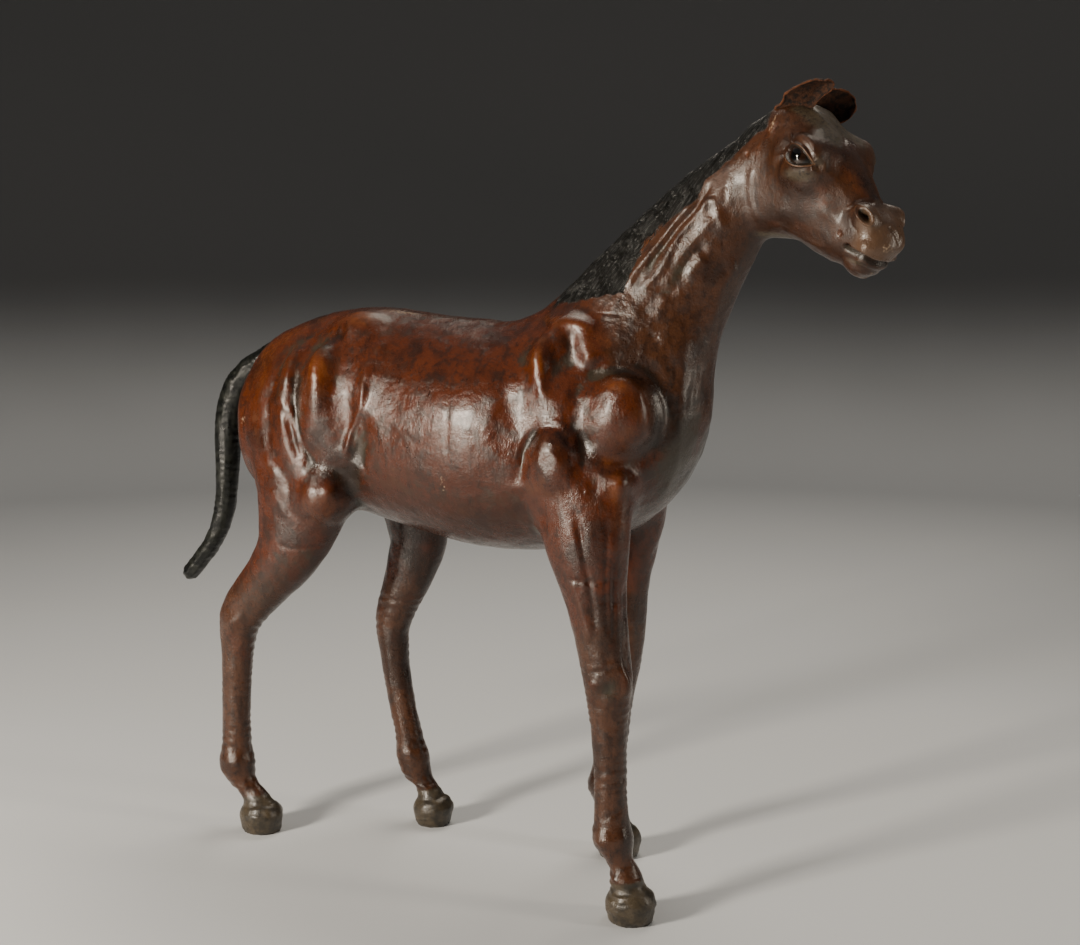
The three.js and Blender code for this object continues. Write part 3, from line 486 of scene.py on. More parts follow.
# Where forms flow into each other, the folds of the solid are drawn out soft on the outer sides
# before the relief goes on.
SOFTENING_ROUNDS = 50
SOFT_PATCHES = (
    (620, 456, 36, 11, 0, 1.3), (568, 350, 24, 24, 0, 0.8), (662, 400, 9, 44, 0, 0.6),
    (630, 368, 26, 8, 10, 0.5), (555, 412, 44, 12, 0, 0.8), (576, 462, 12, 20, 0, 0.5),
    (300, 400, 30, 60, 0, 0.25),
)


# The brows stand out on both sides, over a hollow in front and one above. Each mound has its place,
# as ahead, aside and up from the poll, then its radius and its height in millimetres.
BROW_MOUNDS = (
    ((55, 44, -15), 8, 3.4),
    ((62, 40, -20), 6, 1.6),
    ((45, 27, -3), 10, -2.2),
    ((70, 30, -36), 8, -1.6),
)


def rough_noise(points, size, seed=0.0):
    """Smooth noise from about -1 to 1, with lumps of the given size in millimetres."""
    return np.array([noise.noise(Vector((x, y, z + seed)) / size) for x, y, z in points])


def move_out(item, heights):
    write_points(item, read_points(item) + heights[:, None] * read_normals(item))


points, edges = read_points(skin), edges_of(skin)
places = on_picture(points, read_normals(skin))[0]
softness = np.clip(patches(places, SOFT_PATCHES), 0, 1) * ramp(25, 45, np.abs(points[:, 1]))
softness *= ~near_head(points)
for _ in range(SOFTENING_ROUNDS):
    points += (0.5 * softness)[:, None] * (neighbour_mean(points, edges) - points)
write_points(skin, points)

points, normals = read_points(skin), read_normals(skin)
places, facing = on_picture(points, normals)
right_side = ramp(2, -2, points[:, 1])
on_head = near_head(points)
heights = np.zeros(len(points))
for lines, spots, share in (
    (SHOULDER_LINES + THIGH_LINES, SHOULDER_SPOTS + THIGH_SPOTS, ~on_head),
    (BARREL_LINES + NECK_LINES, BARREL_SPOTS, ~on_head),
    (FACE_LINES, FACE_SPOTS, on_head),
    (RIGHT_LINES, RIGHT_SPOTS, right_side),
):
    for line, height, width in lines:
        heights += line_height(places, line, height, width) * share
    for spot in spots:
        heights += spot_height(places, *spot) * share
heights *= facing
in_face = in_head(points)
in_face[:, 1] = np.abs(in_face[:, 1])
for place, radius, height in BROW_MOUNDS:
    gap = np.linalg.norm(in_face - place, axis=1)
    heights += height * bell(gap, radius)


# The mane is tooled into the same skin: strands that slant up and forward over the crest, with
# scuffed ones at the lower border.
STRAND_LEAN = math.radians(56)
STRAND_GAP = 3.6


def mane_strands(points):
    x, y, z = points.T
    across = z * math.cos(STRAND_LEAN) - x * math.sin(STRAND_LEAN)
    length = x * math.cos(STRAND_LEAN) + z * math.sin(STRAND_LEAN)
    waver = np.array([
        noise.noise(Vector((l / 60, a / 14, side))) for l, a, side in zip(length, across, np.sign(y))
    ])
    phase = (across + 3.2 * waver) * 2 * math.pi / STRAND_GAP
    return 0.5 * np.sin(phase) + 0.35 * np.sin(phase * 0.43 + 1.3)


in_mane = ramp(-2, 3, above_mane_border(points)) * ramp(CREST_START, CREST_START + 8, points[:, 0])
in_mane *= ramp(CREST_END, CREST_END - 8, points[:, 0])
maned = in_mane > 0.01
heights[maned] += 0.75 * in_mane[maned] * mane_strands(points[maned])

# Hand-shaped leather is never quite even: broad dents all over, small ones where it was pulled
# tight over bone, and ring wrinkles where it was drawn in at the joints of the legs.
heights += 0.55 * rough_noise(points, 34) + 0.3 * rough_noise(points, 15, 200)
RING_GAP = 8.5
on_legs = points[:, 2] < 250
ring_waver = rough_noise(points[on_legs], 26, 400)
rings = 0.5 * np.sin((points[on_legs, 2] + 7 * ring_waver) * 2 * math.pi / RING_GAP)
heights[on_legs] += rings * ramp(-0.1, 0.5, rough_noise(points[on_legs], 30, 700))

# The hooves are the same leather, drawn over a block: they spread below a narrow pastern, with a
# faint band where the horn begins and a bruised lower edge. The fetlocks bulge above them.
HOOF_PLACES = ((179.4, -65.8), (103.1, 68.5), (-259.8, -52.0), (-109.9, 51.8))
HORN_BEGINS = 35.0
FETLOCK_HEIGHT = 74.0


def below_band(points):
    """How far each point lies below the band of its hoof. The band is higher at the toe."""
    nearest = np.argmin([np.hypot(points[:, 0] - x, points[:, 1] - y) for x, y in HOOF_PLACES], axis=0)
    toe_ward = points[:, 0] - np.array(HOOF_PLACES)[nearest, 0]
    return HORN_BEGINS + 0.16 * toe_ward - points[:, 2]


shins = points[:, 2] < 110
below = below_band(points[shins])
uneven = rough_noise(points[shins], 9, 900)
heights[shins] += (
    1.8 * bell(points[shins, 2] - FETLOCK_HEIGHT, 10)
    - 3.2 * bell(below - 1, 8)
    + 1.0 * bell(below - 17, 7)
    + 0.5 * bell(below + 3 + uneven, 2.0)
    - 0.4 * bell(below - 5 + 2 * uneven, 1.4)
    - 0.7 * ramp(0.1, 0.7, uneven) * ramp(22, 31, below)
)
move_out(skin, heights)


# Each eye lies under two lids. Round its place the skin is drawn to the lids' own shape: it dips
# under the glass inside the almond opening and has a rolled edge round it.
EYE_LEAN = math.radians(-26)
LID_HALF_LENGTH, LID_HALF_HEIGHT = 15.6, 7.6
LID_RADIUS, UNDER_LID_RADIUS, MEASURED_AT = 17.0, 13.4, 18


def eye_axes(side):
    """The middle of an eye, then the directions to its front corner, up and out."""
    out = side * LEFTWARD + 0.17 * UPWARD
    out /= np.linalg.norm(out)
    level = FORWARD - (FORWARD @ out) * out
    level /= np.linalg.norm(level)
    up = np.cross(level, out) * (1 if np.cross(level, out)[2] > 0 else -1)
    front = math.cos(EYE_LEAN) * level + math.sin(EYE_LEAN) * up
    top = math.cos(EYE_LEAN) * up - math.sin(EYE_LEAN) * level
    return from_head(EYE_PLACE[0], side * EYE_PLACE[1], EYE_PLACE[2]), front, top, out


def near_eyes(points):
    close = np.zeros(len(points), dtype=bool)
    for side in (1, -1):
        middle, front, top, out = eye_axes(side)
        away = points - middle
        close |= (np.hypot(away @ front, away @ top) < 21) & (away @ out > 0)
    return close


def near_nostrils(points):
    ahead, left, up = in_head(points).T
    return (ahead > 84) & (up < -60) & (up > -122)


def near_openings(points):
    return near_eyes(points) | near_nostrils(points)


finer(skin, near_openings)
relax(skin, 2, near_openings)

points = read_points(skin)
rims, under_lids = np.zeros(len(points)), np.zeros(len(points))
for side in (1, -1):
    middle, front, top, out = eye_axes(side)
    away = points - middle
    radius = np.linalg.norm(away, axis=1)
    aim = away / radius[:, None]
    x, y = aim @ front * MEASURED_AT, aim @ top * MEASURED_AT
    half = LID_HALF_HEIGHT * np.clip(1 - (x / LID_HALF_LENGTH) ** 2, 0, 1) ** np.where(x > 0, 0.85, 0.55)
    # How far outside the opening, in millimetres, along the ball
    within = np.abs(x) < LID_HALF_LENGTH
    outside = np.where(within, np.abs(y + 0.4) - half, np.hypot(np.abs(x) - LID_HALF_LENGTH, y))
    outside *= np.where(within, 0.75 + 0.25 * half / LID_HALF_HEIGHT, 1)
    lid = LID_RADIUS + 0.9 * bell(outside - 1.0, 1.0) + 0.7 * ramp(1.5, 6, outside)
    lid -= 0.6 * bell(outside - 3.6, 1.1) * ramp(0, 5, y)
    target = np.where(outside < 0, UNDER_LID_RADIUS + 3.2 * ramp(-0.9, 0, outside), lid)
    in_front = ramp(1, 5, away @ out)
    weight = ramp(8.5, 3.5, outside + 3.5 * ramp(7, 15, x)) * in_front * ramp(32, 24, radius)
    edge_line = 0.85 * bell(outside - 0.9, 0.6)
    edge_line += 0.35 * bell(outside - 4.8, 0.6) * ramp(1, 5, y)
    under_lids += ramp(0.4, -0.3, outside) * in_front * ramp(24, 20, radius)
    rims += edge_line * in_front * ramp(24, 20, radius)
    points = middle + aim * (radius + weight * (target - radius))[:, None]
write_points(skin, points)

# The nostrils are deep slanted slots with a rolled rim, drawn in the picture as well.
NOSTRIL_AT = np.array([864.7, 215.6])
NOSTRIL_LEAN = math.radians(49)
NOSTRIL_HALF_LENGTH, NOSTRIL_HALF_WIDTH = 9.5, 5.2
points, normals = read_points(skin), read_normals(skin)
places, facing = on_picture(points, normals)
away = places - NOSTRIL_AT
u = away[:, 0] * math.cos(NOSTRIL_LEAN) + away[:, 1] * math.sin(NOSTRIL_LEAN)
v = away[:, 1] * math.cos(NOSTRIL_LEAN) - away[:, 0] * math.sin(NOSTRIL_LEAN)
slot = np.hypot(u / NOSTRIL_HALF_LENGTH, v / NOSTRIL_HALF_WIDTH)
close = ramp(0.2, 0.5, facing) * near_nostrils(points)
heights = close * (-9.0 * ramp(1.0, 0.45, slot) + 1.1 * bell(slot - 1.22, 0.16))
move_out(skin, heights)
relax(skin, 1)
rims += 0.55 * close * bell(slot - 1.25, 0.16)
inside_nostril = close * ramp(1.02, 0.8, slot)

# The skin's finish is stored with it as soft masks: worn to orange on what stands out, darkened as painted
# shade in what lies deep, in the openings and where it faces down, pale on scuffs and with a painted
# highlight along the back, dull where it is seldom touched, black on the mane, grey on the hooves. A patch
# is drawn as a spot is, with an amount in place of the height.
WORN_PATCHES = (
    (566, 323, 30, 8, 10, 1.0), (600, 340, 17, 9, 40, 0.9), (538, 364, 7, 15, 0, 1.0),
    (551, 394, 9, 5, 0, 0.8), (587, 354, 9, 12, 0, 0.7), (647, 409, 6, 30, 0, 0.8),
    (622, 446, 24, 12, 0, 0.9), (616, 463, 20, 12, 0, 0.9), (616, 385, 20, 6, 0, 0.7),
    (534, 487, 12, 12, 0, 0.9), (561, 494, 18, 7, 0, 0.9), (577, 474, 5, 14, 0, 0.5),
    (616, 495, 10, 13, 0, 1.0), (592, 504, 8, 16, 0, 0.5), (505, 497, 12, 20, 0, 0.6),
    (713, 344, 6, 18, 10, 0.6), (687, 471, 5, 18, 10, 0.6), (622, 520, 14, 22, 0, 0.7),
    (363, 316, 17, 12, 0, 1.0), (321, 323, 24, 8, -20, 0.6), (285, 338, 26, 9, -35, 0.8),
    (265, 366, 9, 28, 12, 0.8), (257, 421, 8, 26, 0, 0.6), (322, 373, 14, 20, 0, 1.0),
    (301, 397, 5, 22, 0, 0.7), (315, 454, 9, 8, 0, 0.6), (322, 519, 22, 15, 0, 0.9),
    (346, 502, 15, 8, 0, 0.9), (285, 486, 6, 9, 0, 0.7), (268, 466, 8, 16, -15, 0.6),
    (390, 362, 20, 60, 0, 0.35), (392, 480, 24, 22, 0, 0.6), (470, 512, 60, 16, 8, 0.6),
    (447, 441, 3, 6, 0, 1.0), (745, 290, 6, 40, 15, 0.6), (764, 240, 8, 12, 0, 0.5),
    (745, 160, 8, 28, 10, 0.7), (731, 186, 7, 24, 10, 0.6),
)
FACE_WORN_PATCHES = (
    (770, 126, 7, 16, 25, 1.0), (756, 148, 8, 14, 10, 0.9), (851, 177, 9, 32, -38, 1.0),
    (820, 200, 18, 16, 0, 1.0), (801, 227, 22, 7, 12, 0.7), (770, 223, 13, 6, 10, 0.7),
    (798, 130, 13, 4, 0, 0.6), (885, 257, 3.5, 2, 0, 1.3), (840, 229, 5, 5, 0, 0.7),
    (839.5, 233.4, 2.6, 3.6, 0, 1.2), (747, 154, 3, 4, 0, 1.2),
)
# Patches darkened on hollows, valleys and the lower thigh and belly: painted shade.
PAINTED_SHADE_PATCHES = (
    (296, 395, 8, 40, 0, 0.9), (326, 345, 9, 14, 20, 0.8), (303, 340, 16, 5, -30, 0.7),
    (281, 385, 5, 22, 5, 0.6), (355, 462, 11, 34, 8, 1.0), (345, 482, 14, 12, 0, 0.8),
    (320, 472, 22, 10, 0, 0.6), (556, 368, 6, 14, -15, 0.5), (588, 414, 6, 26, 0, 0.6),
    (612, 372, 22, 4, -10, 0.6), (657, 410, 6, 26, 0, 0.7), (592, 474, 8, 22, 0, 0.6),
    (674, 456, 22, 56, 10, 0.8), (268, 582, 20, 46, 35, 0.6), (500, 505, 30, 24, 0, 0.5),
    (310, 560, 24, 14, 0, 0.4), (400, 330, 30, 10, 0, 0.4), (425, 490, 40, 12, 10, 0.4),
    (380, 440, 8, 50, 5, 0.4), (524, 356, 12, 16, 0, 0.6), (690, 430, 8, 60, 8, 0.6),
    (677, 272, 6, 26, 30, 0.9), (652, 262, 5, 22, 38, 0.8), (608, 688, 12, 13, 0, 0.8),
    (748, 215, 6, 14, 0, 0.8), (450, 318, 84, 4, 2, 0.6), (670, 470, 12, 40, 10, 0.4),
)
FACE_SMOKY_PATCHES = (
    (819, 116, 22, 13, 30, 1.1), (833, 133, 11, 15, -35, 1.0), (802, 109, 14, 5, 0, 0.8),
    (798, 175, 17, 8, 10, 0.9), (819, 161, 8, 10, 0, 0.7), (775, 236, 22, 4, 8, 1.0),
    (866, 228, 10, 8, 0, 0.5), (880, 205, 8, 10, -35, 0.5), (855, 262, 10, 3, 20, 0.8),
)
# Pale scuffs and seam marks; the first two patches, along the top of the back, are a painted highlight.
SCUFF_AND_HIGHLIGHT_PATCHES = (
    (410, 312, 36, 3.5, 4, 0.9), (480, 320, 30, 2.5, 2, 0.6), (443, 484, 3, 14, -8, 0.7),
    (448, 400, 1.6, 46, 0, 0.6), (243, 420, 2, 5, 25, 1.0), (700, 356, 1.5, 8, 35, 0.6),
    (352, 330, 8, 5, 0, 0.4),
)
FACE_SCUFFED_PATCHES = (
    (773, 123, 1.8, 13, 25, 1.0), (866, 246, 6, 5, 0, 0.7), (888, 248, 7, 7, 0, 0.8),
    (872, 274, 5, 3, 0, 0.8), (764, 205, 1.5, 6, 0, 0.5), (880, 232, 5, 4, 0, 0.5),
)
DULL_PATCHES = (
    (732, 180, 22, 15, 0, 2.0), (746, 182, 11, 26, 0, 1.2), (700, 178, 10, 8, 0, 0.5),
    (560, 335, 30, 8, 10, 0.4), (372, 318, 26, 12, 0, 0.6), (700, 380, 12, 60, 5, 0.5),
    (300, 560, 50, 40, 0, 0.5), (470, 500, 90, 24, 6, 0.6),
)
FACE_DULL_PATCHES = (
    (813, 130, 24, 16, 10, 1.2), (832, 210, 20, 19, 0, 1.8), (800, 220, 40, 16, 15, 0.6),
    (760, 200, 16, 40, 0, 0.7), (826, 160, 10, 14, 0, 0.6), (846, 250, 14, 8, 0, 0.5),
)
CHIN_PATCHES = ((864, 269, 17, 8, 12, 1.2), (850, 262, 8, 8, 0, 0.8))
STREAK_PATCHES = ((651, 240, 4, 9, 35, 0.8), (660, 229, 3, 7, 35, 0.8), (644, 250, 3, 8, 35, 0.7))


def store(item, name, values):
    attribute = item.data.attributes.new(name, "FLOAT", "POINT")
    attribute.data.foreach_set("value", np.asarray(values, dtype=np.float32))


def standing_out(item, rounds):
    """How far each point stands out from the surface round it, in millimetres."""
    points, edges = read_points(item), edges_of(item)
    even = points.copy()
    for _ in range(rounds):
        even = neighbour_mean(even, edges)
    return ((points - even) * read_normals(item)).sum(1)


points, normals = read_points(skin), read_normals(skin)
places, facing = on_picture(points, normals)
head_share = near_head(points).astype(float)
proud, deep = standing_out(skin, 60), standing_out(skin, 10)
below = below_band(points)
mouth = line_height(places, MOUTH_LINE, 1.0, 2.6) * head_share
in_mane = ramp(-1.5, 1.5, above_mane_border(points) + 2.2 * rough_noise(points, 7, 50))
in_mane *= ramp(CREST_START - 1, CREST_START + 8, points[:, 0])
in_mane *= ramp(CREST_END + 4, CREST_END - 6, points[:, 0])
store(skin, "worn", 0.8 * patches(places, WORN_PATCHES) * (1 - head_share) * facing
      + 0.7 * patches(places, FACE_WORN_PATCHES) * head_share * facing
      + 0.45 * ramp(0.8, 4.0, proud) * ramp(150, 260, points[:, 2]) * (1 - head_share))
# Darker in what lies deep, along the mouth, in the nostrils, under the lids and on the patches above:
# painted shade.
store(skin, "painted_shade", patches(places, PAINTED_SHADE_PATCHES) * (1 - head_share) * facing
      + 0.7 * ramp(-0.6, -3.5, proud) + 0.4 * ramp(-0.2, -0.8, deep)
      + 2.0 * mouth
      + 2.0 * (inside_nostril + under_lids))
# How far each point above the legs faces down, where the skin is darkened as painted shade.
store(skin, "shaded_underneath", ramp(0.15, -0.75, normals[:, 2]) * ramp(160, 300, points[:, 2]))
store(skin, "rim", rims)
store(skin, "smoky", patches(places, FACE_SMOKY_PATCHES) * head_share * facing)
behind_neck = ramp(250, 90, points[:, 0] + 0.5 * (points[:, 2] - 480))
store(skin, "ruddy", ramp(220, 330, points[:, 2]) * behind_neck)
# Pale scuffs, and a painted highlight along the top of the back.
store(skin, "scuffs_and_highlight", (patches(places, SCUFF_AND_HIGHLIGHT_PATCHES) * (1 - head_share) * ramp(4, -4, points[:, 1])
      + patches(places, FACE_SCUFFED_PATCHES) * head_share) * facing)
store(skin, "dull", (patches(places, DULL_PATCHES) * (1 - head_share)
      + patches(places, FACE_DULL_PATCHES) * head_share) * facing)
store(skin, "mane", in_mane)
store(skin, "face", head_share)
store(skin, "streaked", in_mane * patches(places, STREAK_PATCHES) * facing * ramp(2, -2, points[:, 1]))
store(skin, "strand", points[:, 2] * math.cos(STRAND_LEAN) - points[:, 0] * math.sin(STRAND_LEAN))
store(skin, "horn", ramp(-9, 0, below))
store(skin, "muzzle", ramp(96, 118, in_head(points)[:, 0] - 0.35 * in_head(points)[:, 2] - 24) * head_share
      * (1 - np.clip(patches(places, CHIN_PATCHES) + 1.2 * mouth, 0, 1)))

# The finished net is thinned where it is flat, so that fine faces stay on folds and edges.
SKIN_FACES = 192000
triangles = sum(len(face.vertices) - 2 for face in skin.data.polygons)
finish_with(skin, "DECIMATE", ratio=min(1, SKIN_FACES / triangles))

# The soles stand flat on the floor.
points = read_points(skin)
points[:, 2] = np.where(points[:, 2] < 1.2, 0, points[:, 2])
points = np.clip(points, *BOX_MM)
write_points(skin, points)
only(skin)
bpy.ops.object.shade_smooth()


class Finish:
    """A procedural material that is put together node by node."""

    def __init__(self, name):
        self.material = bpy.data.materials.new(name)
        self.material.use_nodes = True
        self.tree = self.material.node_tree
        self.shader = self.tree.nodes["Principled BSDF"]
        self.place = self.new("TexCoord").outputs["Object"]

    def new(self, kind):
        return self.tree.nodes.new("ShaderNode" + kind)

    def feed(self, socket, value):
        if isinstance(value, bpy.types.NodeSocket):
            self.tree.links.new(value, socket)
        elif value is not None:
            socket.default_value = value

    def mask(self, name):
        node = self.new("Attribute")
        node.attribute_name = name
        return node.outputs["Fac"]

    def noise(self, size_mm, detail=4.0, roughness=0.55, stretch=None):
        node = self.new("TexNoise")
        place = self.place
        if stretch:
            mapping = self.new("Mapping")
            mapping.inputs["Scale"].default_value = stretch
            self.feed(mapping.inputs["Vector"], place)
            place = mapping.outputs["Vector"]
        self.feed(node.inputs["Vector"], place)
        node.inputs["Scale"].default_value = 1000 / size_mm
        node.inputs["Detail"].default_value = detail
        node.inputs["Roughness"].default_value = roughness
        return node.outputs["Fac"]

    def cells(self, size_mm):
        node = self.new("TexVoronoi")
        self.feed(node.inputs["Vector"], self.place)
        node.inputs["Scale"].default_value = 1000 / size_mm
        return node.outputs["Distance"]

    def math(self, operation, a, b=None, c=None):
        node = self.new("Math")
        node.operation = operation
        for socket, value in zip(node.inputs, (a, b, c)):
            self.feed(socket, value)
        return node.outputs["Value"]

    def around(self, value, middle, amount, base):
        """Adds to a base how far a value lies above its middle, times an amount."""
        return self.math("MULTIPLY_ADD", self.math("SUBTRACT", value, middle), amount, base)

    def spread(self, value, low, high, to_low=0.0, to_high=1.0):
        """Maps a range of values smoothly onto another."""
        node = self.new("MapRange")
        node.interpolation_type = "SMOOTHSTEP"
        self.feed(node.inputs["Value"], value)
        for key, number in zip(("From Min", "From Max", "To Min", "To Max"), (low, high, to_low, to_high)):
            node.inputs[key].default_value = number
        return node.outputs["Result"]

    def mix(self, share, first, second, blend="MIX"):
        node = self.new("Mix")
        node.data_type = "RGBA"
        node.blend_type = blend
        self.feed(node.inputs["Factor"], share)
        colours = [socket for socket in node.inputs if socket.type == "RGBA"]
        for socket, value in zip(colours, (first, second)):
            self.feed(socket, (*value, 1) if isinstance(value, tuple) else value)
        return [socket for socket in node.outputs if socket.type == "RGBA"][0]

    def layer(self, colour, value, low, high, most, tint):
        """Lays a tint over a colour, up to a most, where a value rises from low to high."""
        return self.mix(self.spread(value, low, high, 0, most), colour, tint)

    def bump(self, height, depth_mm, under=None):
        node = self.new("Bump")
        node.inputs["Strength"].default_value = 1.0
        node.inputs["Distance"].default_value = depth_mm / 1000
        self.feed(node.inputs["Height"], height)
        if under is not None:
            self.feed(node.inputs["Normal"], under)
        return node.outputs["Normal"]

    def end(self, colour, roughness, normal=None, **constants):
        self.feed(self.shader.inputs["Base Color"], colour)
        self.feed(self.shader.inputs["Roughness"], roughness)
        if normal is not None:
            self.feed(self.shader.inputs["Normal"], normal)
        for key, value in constants.items():
            self.shader.inputs[key.replace("_", " ")].default_value = value
        return self.material


BROWN, MAHOGANY, DARK_BROWN = (0.066, 0.026, 0.012), (0.078, 0.0175, 0.0045), (0.011, 0.0045, 0.0025)
# The second colour on the next line is the darkest brown of the painted shade in hollows and openings.
WORN_ORANGE, SHADE_BROWN, SMOKY_GREY = (0.155, 0.040, 0.006), (0.014, 0.009, 0.006), (0.066, 0.050, 0.030)
# The last colour on the next line is the pale of raw leather on scuffs, also used for a painted highlight
# along the back.
MANE_BLACK, HOOF_GREY, RAW_LEATHER_AND_HIGHLIGHT = (0.004, 0.0038, 0.003), (0.066, 0.052, 0.033), (0.42, 0.30, 0.20)

hide = Finish("polished_leather")
broad = hide.noise(60, 3)
mottle = hide.noise(11, 9, 0.68)
fine = hide.noise(2.2, 6, 0.6)
strokes = hide.noise(7, 5, 0.6, stretch=(1, 1, 0.22))
ruddy = hide.around(broad, 0.5, 2.2, hide.mask("ruddy"))
colour = hide.mix(hide.spread(ruddy, 0.2, 0.8), BROWN, MAHOGANY)
face_colour = hide.mix(hide.spread(mottle, 0.40, 0.60), (0.052, 0.019, 0.008), (0.072, 0.024, 0.006))
colour = hide.mix(hide.mask("face"), colour, face_colour)
for value, low, high, most in (
    (broad, 0.50, 0.36, 0.6), (mottle, 0.46, 0.66, 0.8),
    (strokes, 0.50, 0.70, 0.65), (fine, 0.52, 0.68, 0.5),
):
    colour = hide.layer(colour, value, low, high, most, DARK_BROWN)
worn = hide.around(mottle, 0.52, 2.6, hide.mask("worn"))
worn = hide.around(strokes, 0.5, 1.6, worn)
worn_colour = hide.mix(hide.spread(strokes, 0.40, 0.62), WORN_ORANGE, (0.085, 0.023, 0.006))
colour = hide.layer(colour, worn, 0.15, 1.15, 0.88, worn_colour)
# Painted shade: surfaces that face down are darkened.
colour = hide.mix(hide.mask("shaded_underneath"), colour, hide.mix(0.62, colour, (0.010, 0.003, 0.001)))
# Painted shade: the skin is darkened in hollows, creases, openings and on the shade patches.
painted_shade = hide.around(mottle, 0.5, 1.6, hide.mask("painted_shade"))
painted_shade_colour = hide.mix(hide.spread(broad, 0.42, 0.58), SHADE_BROWN, (0.036, 0.030, 0.020))
colour = hide.layer(colour, painted_shade, 0.15, 1.1, 0.85, painted_shade_colour)
smoky = hide.around(mottle, 0.5, 1.0, hide.mask("smoky"))
smoky_colour = hide.mix(hide.spread(fine, 0.50, 0.62), SMOKY_GREY, (0.018, 0.014, 0.010))
colour = hide.layer(colour, smoky, 0.15, 0.9, 0.85, smoky_colour)
cap = hide.around(mottle, 0.5, 1.2, hide.mask("muzzle"))
colour = hide.layer(colour, cap, 0.2, 1.0, 0.65, (0.125, 0.072, 0.043))
colour = hide.layer(colour, hide.mask("rim"), 0.3, 1.1, 0.75, (0.24, 0.12, 0.06))
horn = hide.around(mottle, 0.5, 0.6, hide.mask("horn"))
horn_colour = hide.mix(hide.spread(mottle, 0.40, 0.62), HOOF_GREY, (0.026, 0.022, 0.015))
colour = hide.layer(colour, horn, 0.2, 0.85, 0.92, horn_colour)
hairs = hide.math("MULTIPLY_ADD", hide.noise(18, 4), 9.0, hide.mask("strand"))
hairs = hide.math("SINE", hide.math("MULTIPLY", hairs, 2 * math.pi / 1.5))
mane = hide.math("MULTIPLY_ADD", hairs, 0.12, hide.mask("mane"))
mane_colour = hide.layer(MANE_BLACK, hairs, 0.3, 1.0, 0.5, (0.022, 0.019, 0.013))
streaked = hide.around(mottle, 0.5, 2.0, hide.mask("streaked"))
streaked = hide.math("MULTIPLY_ADD", hairs, 0.3, streaked)
mane_colour = hide.layer(mane_colour, streaked, 0.55, 0.9, 0.9, (0.19, 0.055, 0.010))
colour = hide.layer(colour, mane, 0.2, 0.8, 1, mane_colour)
# Pale raw leather on scuffs and seams, and a painted highlight along the top of the back.
scuffs_and_highlight = hide.around(fine, 0.5, 2.6, hide.mask("scuffs_and_highlight"))
colour = hide.layer(colour, scuffs_and_highlight, 0.55, 1.1, 0.7, RAW_LEATHER_AND_HIGHLIGHT)

on_mane = hide.spread(mane, 0.3, 0.8)
strands = hide.math("MULTIPLY", hairs, on_mane)
normal = hide.bump(hide.noise(13, 3, 0.5), 1.1)
for height, depth_mm in (
    (mottle, 0.45), (fine, 0.15), (hide.cells(1.1), 0.15), (strokes, 0.25), (strands, 0.30)
):
    normal = hide.bump(height, depth_mm, normal)
gloss = hide.spread(mottle, 0.35, 0.65, 0.19, 0.33)
for share, amount in (
    (hide.spread(scuffs_and_highlight, 0.5, 1.0), 0.25),
    (hide.spread(horn, 0.3, 0.8), 0.08),
    (on_mane, 0.03),
    (hide.mask("face"), 0.05),
    (hide.spread(smoky, 0.2, 1.0), 0.22),
    (hide.mask("dull"), 0.22),
):
    gloss = hide.math("MULTIPLY_ADD", share, amount, gloss)
gloss = hide.math("MINIMUM", gloss, 0.75)
skin.data.materials.append(
    hide.end(colour, gloss, normal, Coat_Weight=0.12, Coat_Roughness=0.16, Specular_IOR_Level=0.42)
)
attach(skin, "root")
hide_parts("horse_body")

# The eyes are balls of dark brown glass, set under the lids, with a slightly raised cornea.
PUPIL, IRIS, CORNEA, CORNEA_RISE = 5.2, 8.6, 9.5, 0.7
glass = Finish("eye_glass")
for side, node in ((1, "eye_left"), (-1, "eye_right")):
    middle, front, top, out = eye_axes(side)
    bpy.ops.object.select_all(action="DESELECT")
    bpy.ops.mesh.primitive_uv_sphere_add(segments=64, ring_count=40, radius=(EYE_RADIUS - 0.15) / 1000)
    eye = bpy.context.object
    eye.name = eye.data.name = "glass_" + node
    points = read_points(eye) @ np.array([front, top, out])
    aside = np.linalg.norm(points - (points @ out)[:, None] * out, axis=1)
    aside = np.where(points @ out > 0, aside, EYE_RADIUS)
    points += (CORNEA_RISE * ramp(CORNEA, 0, aside))[:, None] * out
    store(eye, "aside", aside)
    write_points(eye, points + middle)
    only(eye)
    bpy.ops.object.shade_smooth()
    eye.data.materials.append(glass.material)
    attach(eye, "root")
    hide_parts(node)
iris_colour = glass.mix(glass.noise(1.2, 5), (0.030, 0.013, 0.006), (0.008, 0.004, 0.003))
off_middle = glass.mask("aside")
outside_pupil = glass.spread(off_middle, PUPIL - 0.6, PUPIL + 0.6)
outside_iris = glass.spread(off_middle, IRIS - 0.4, IRIS + 0.8)
eye_colour = glass.mix(outside_pupil, (0.002, 0.002, 0.002), iris_colour)
eye_colour = glass.mix(outside_iris, eye_colour, (0.010, 0.008, 0.007))
glass.end(eye_colour, 0.05, Specular_IOR_Level=0.5)

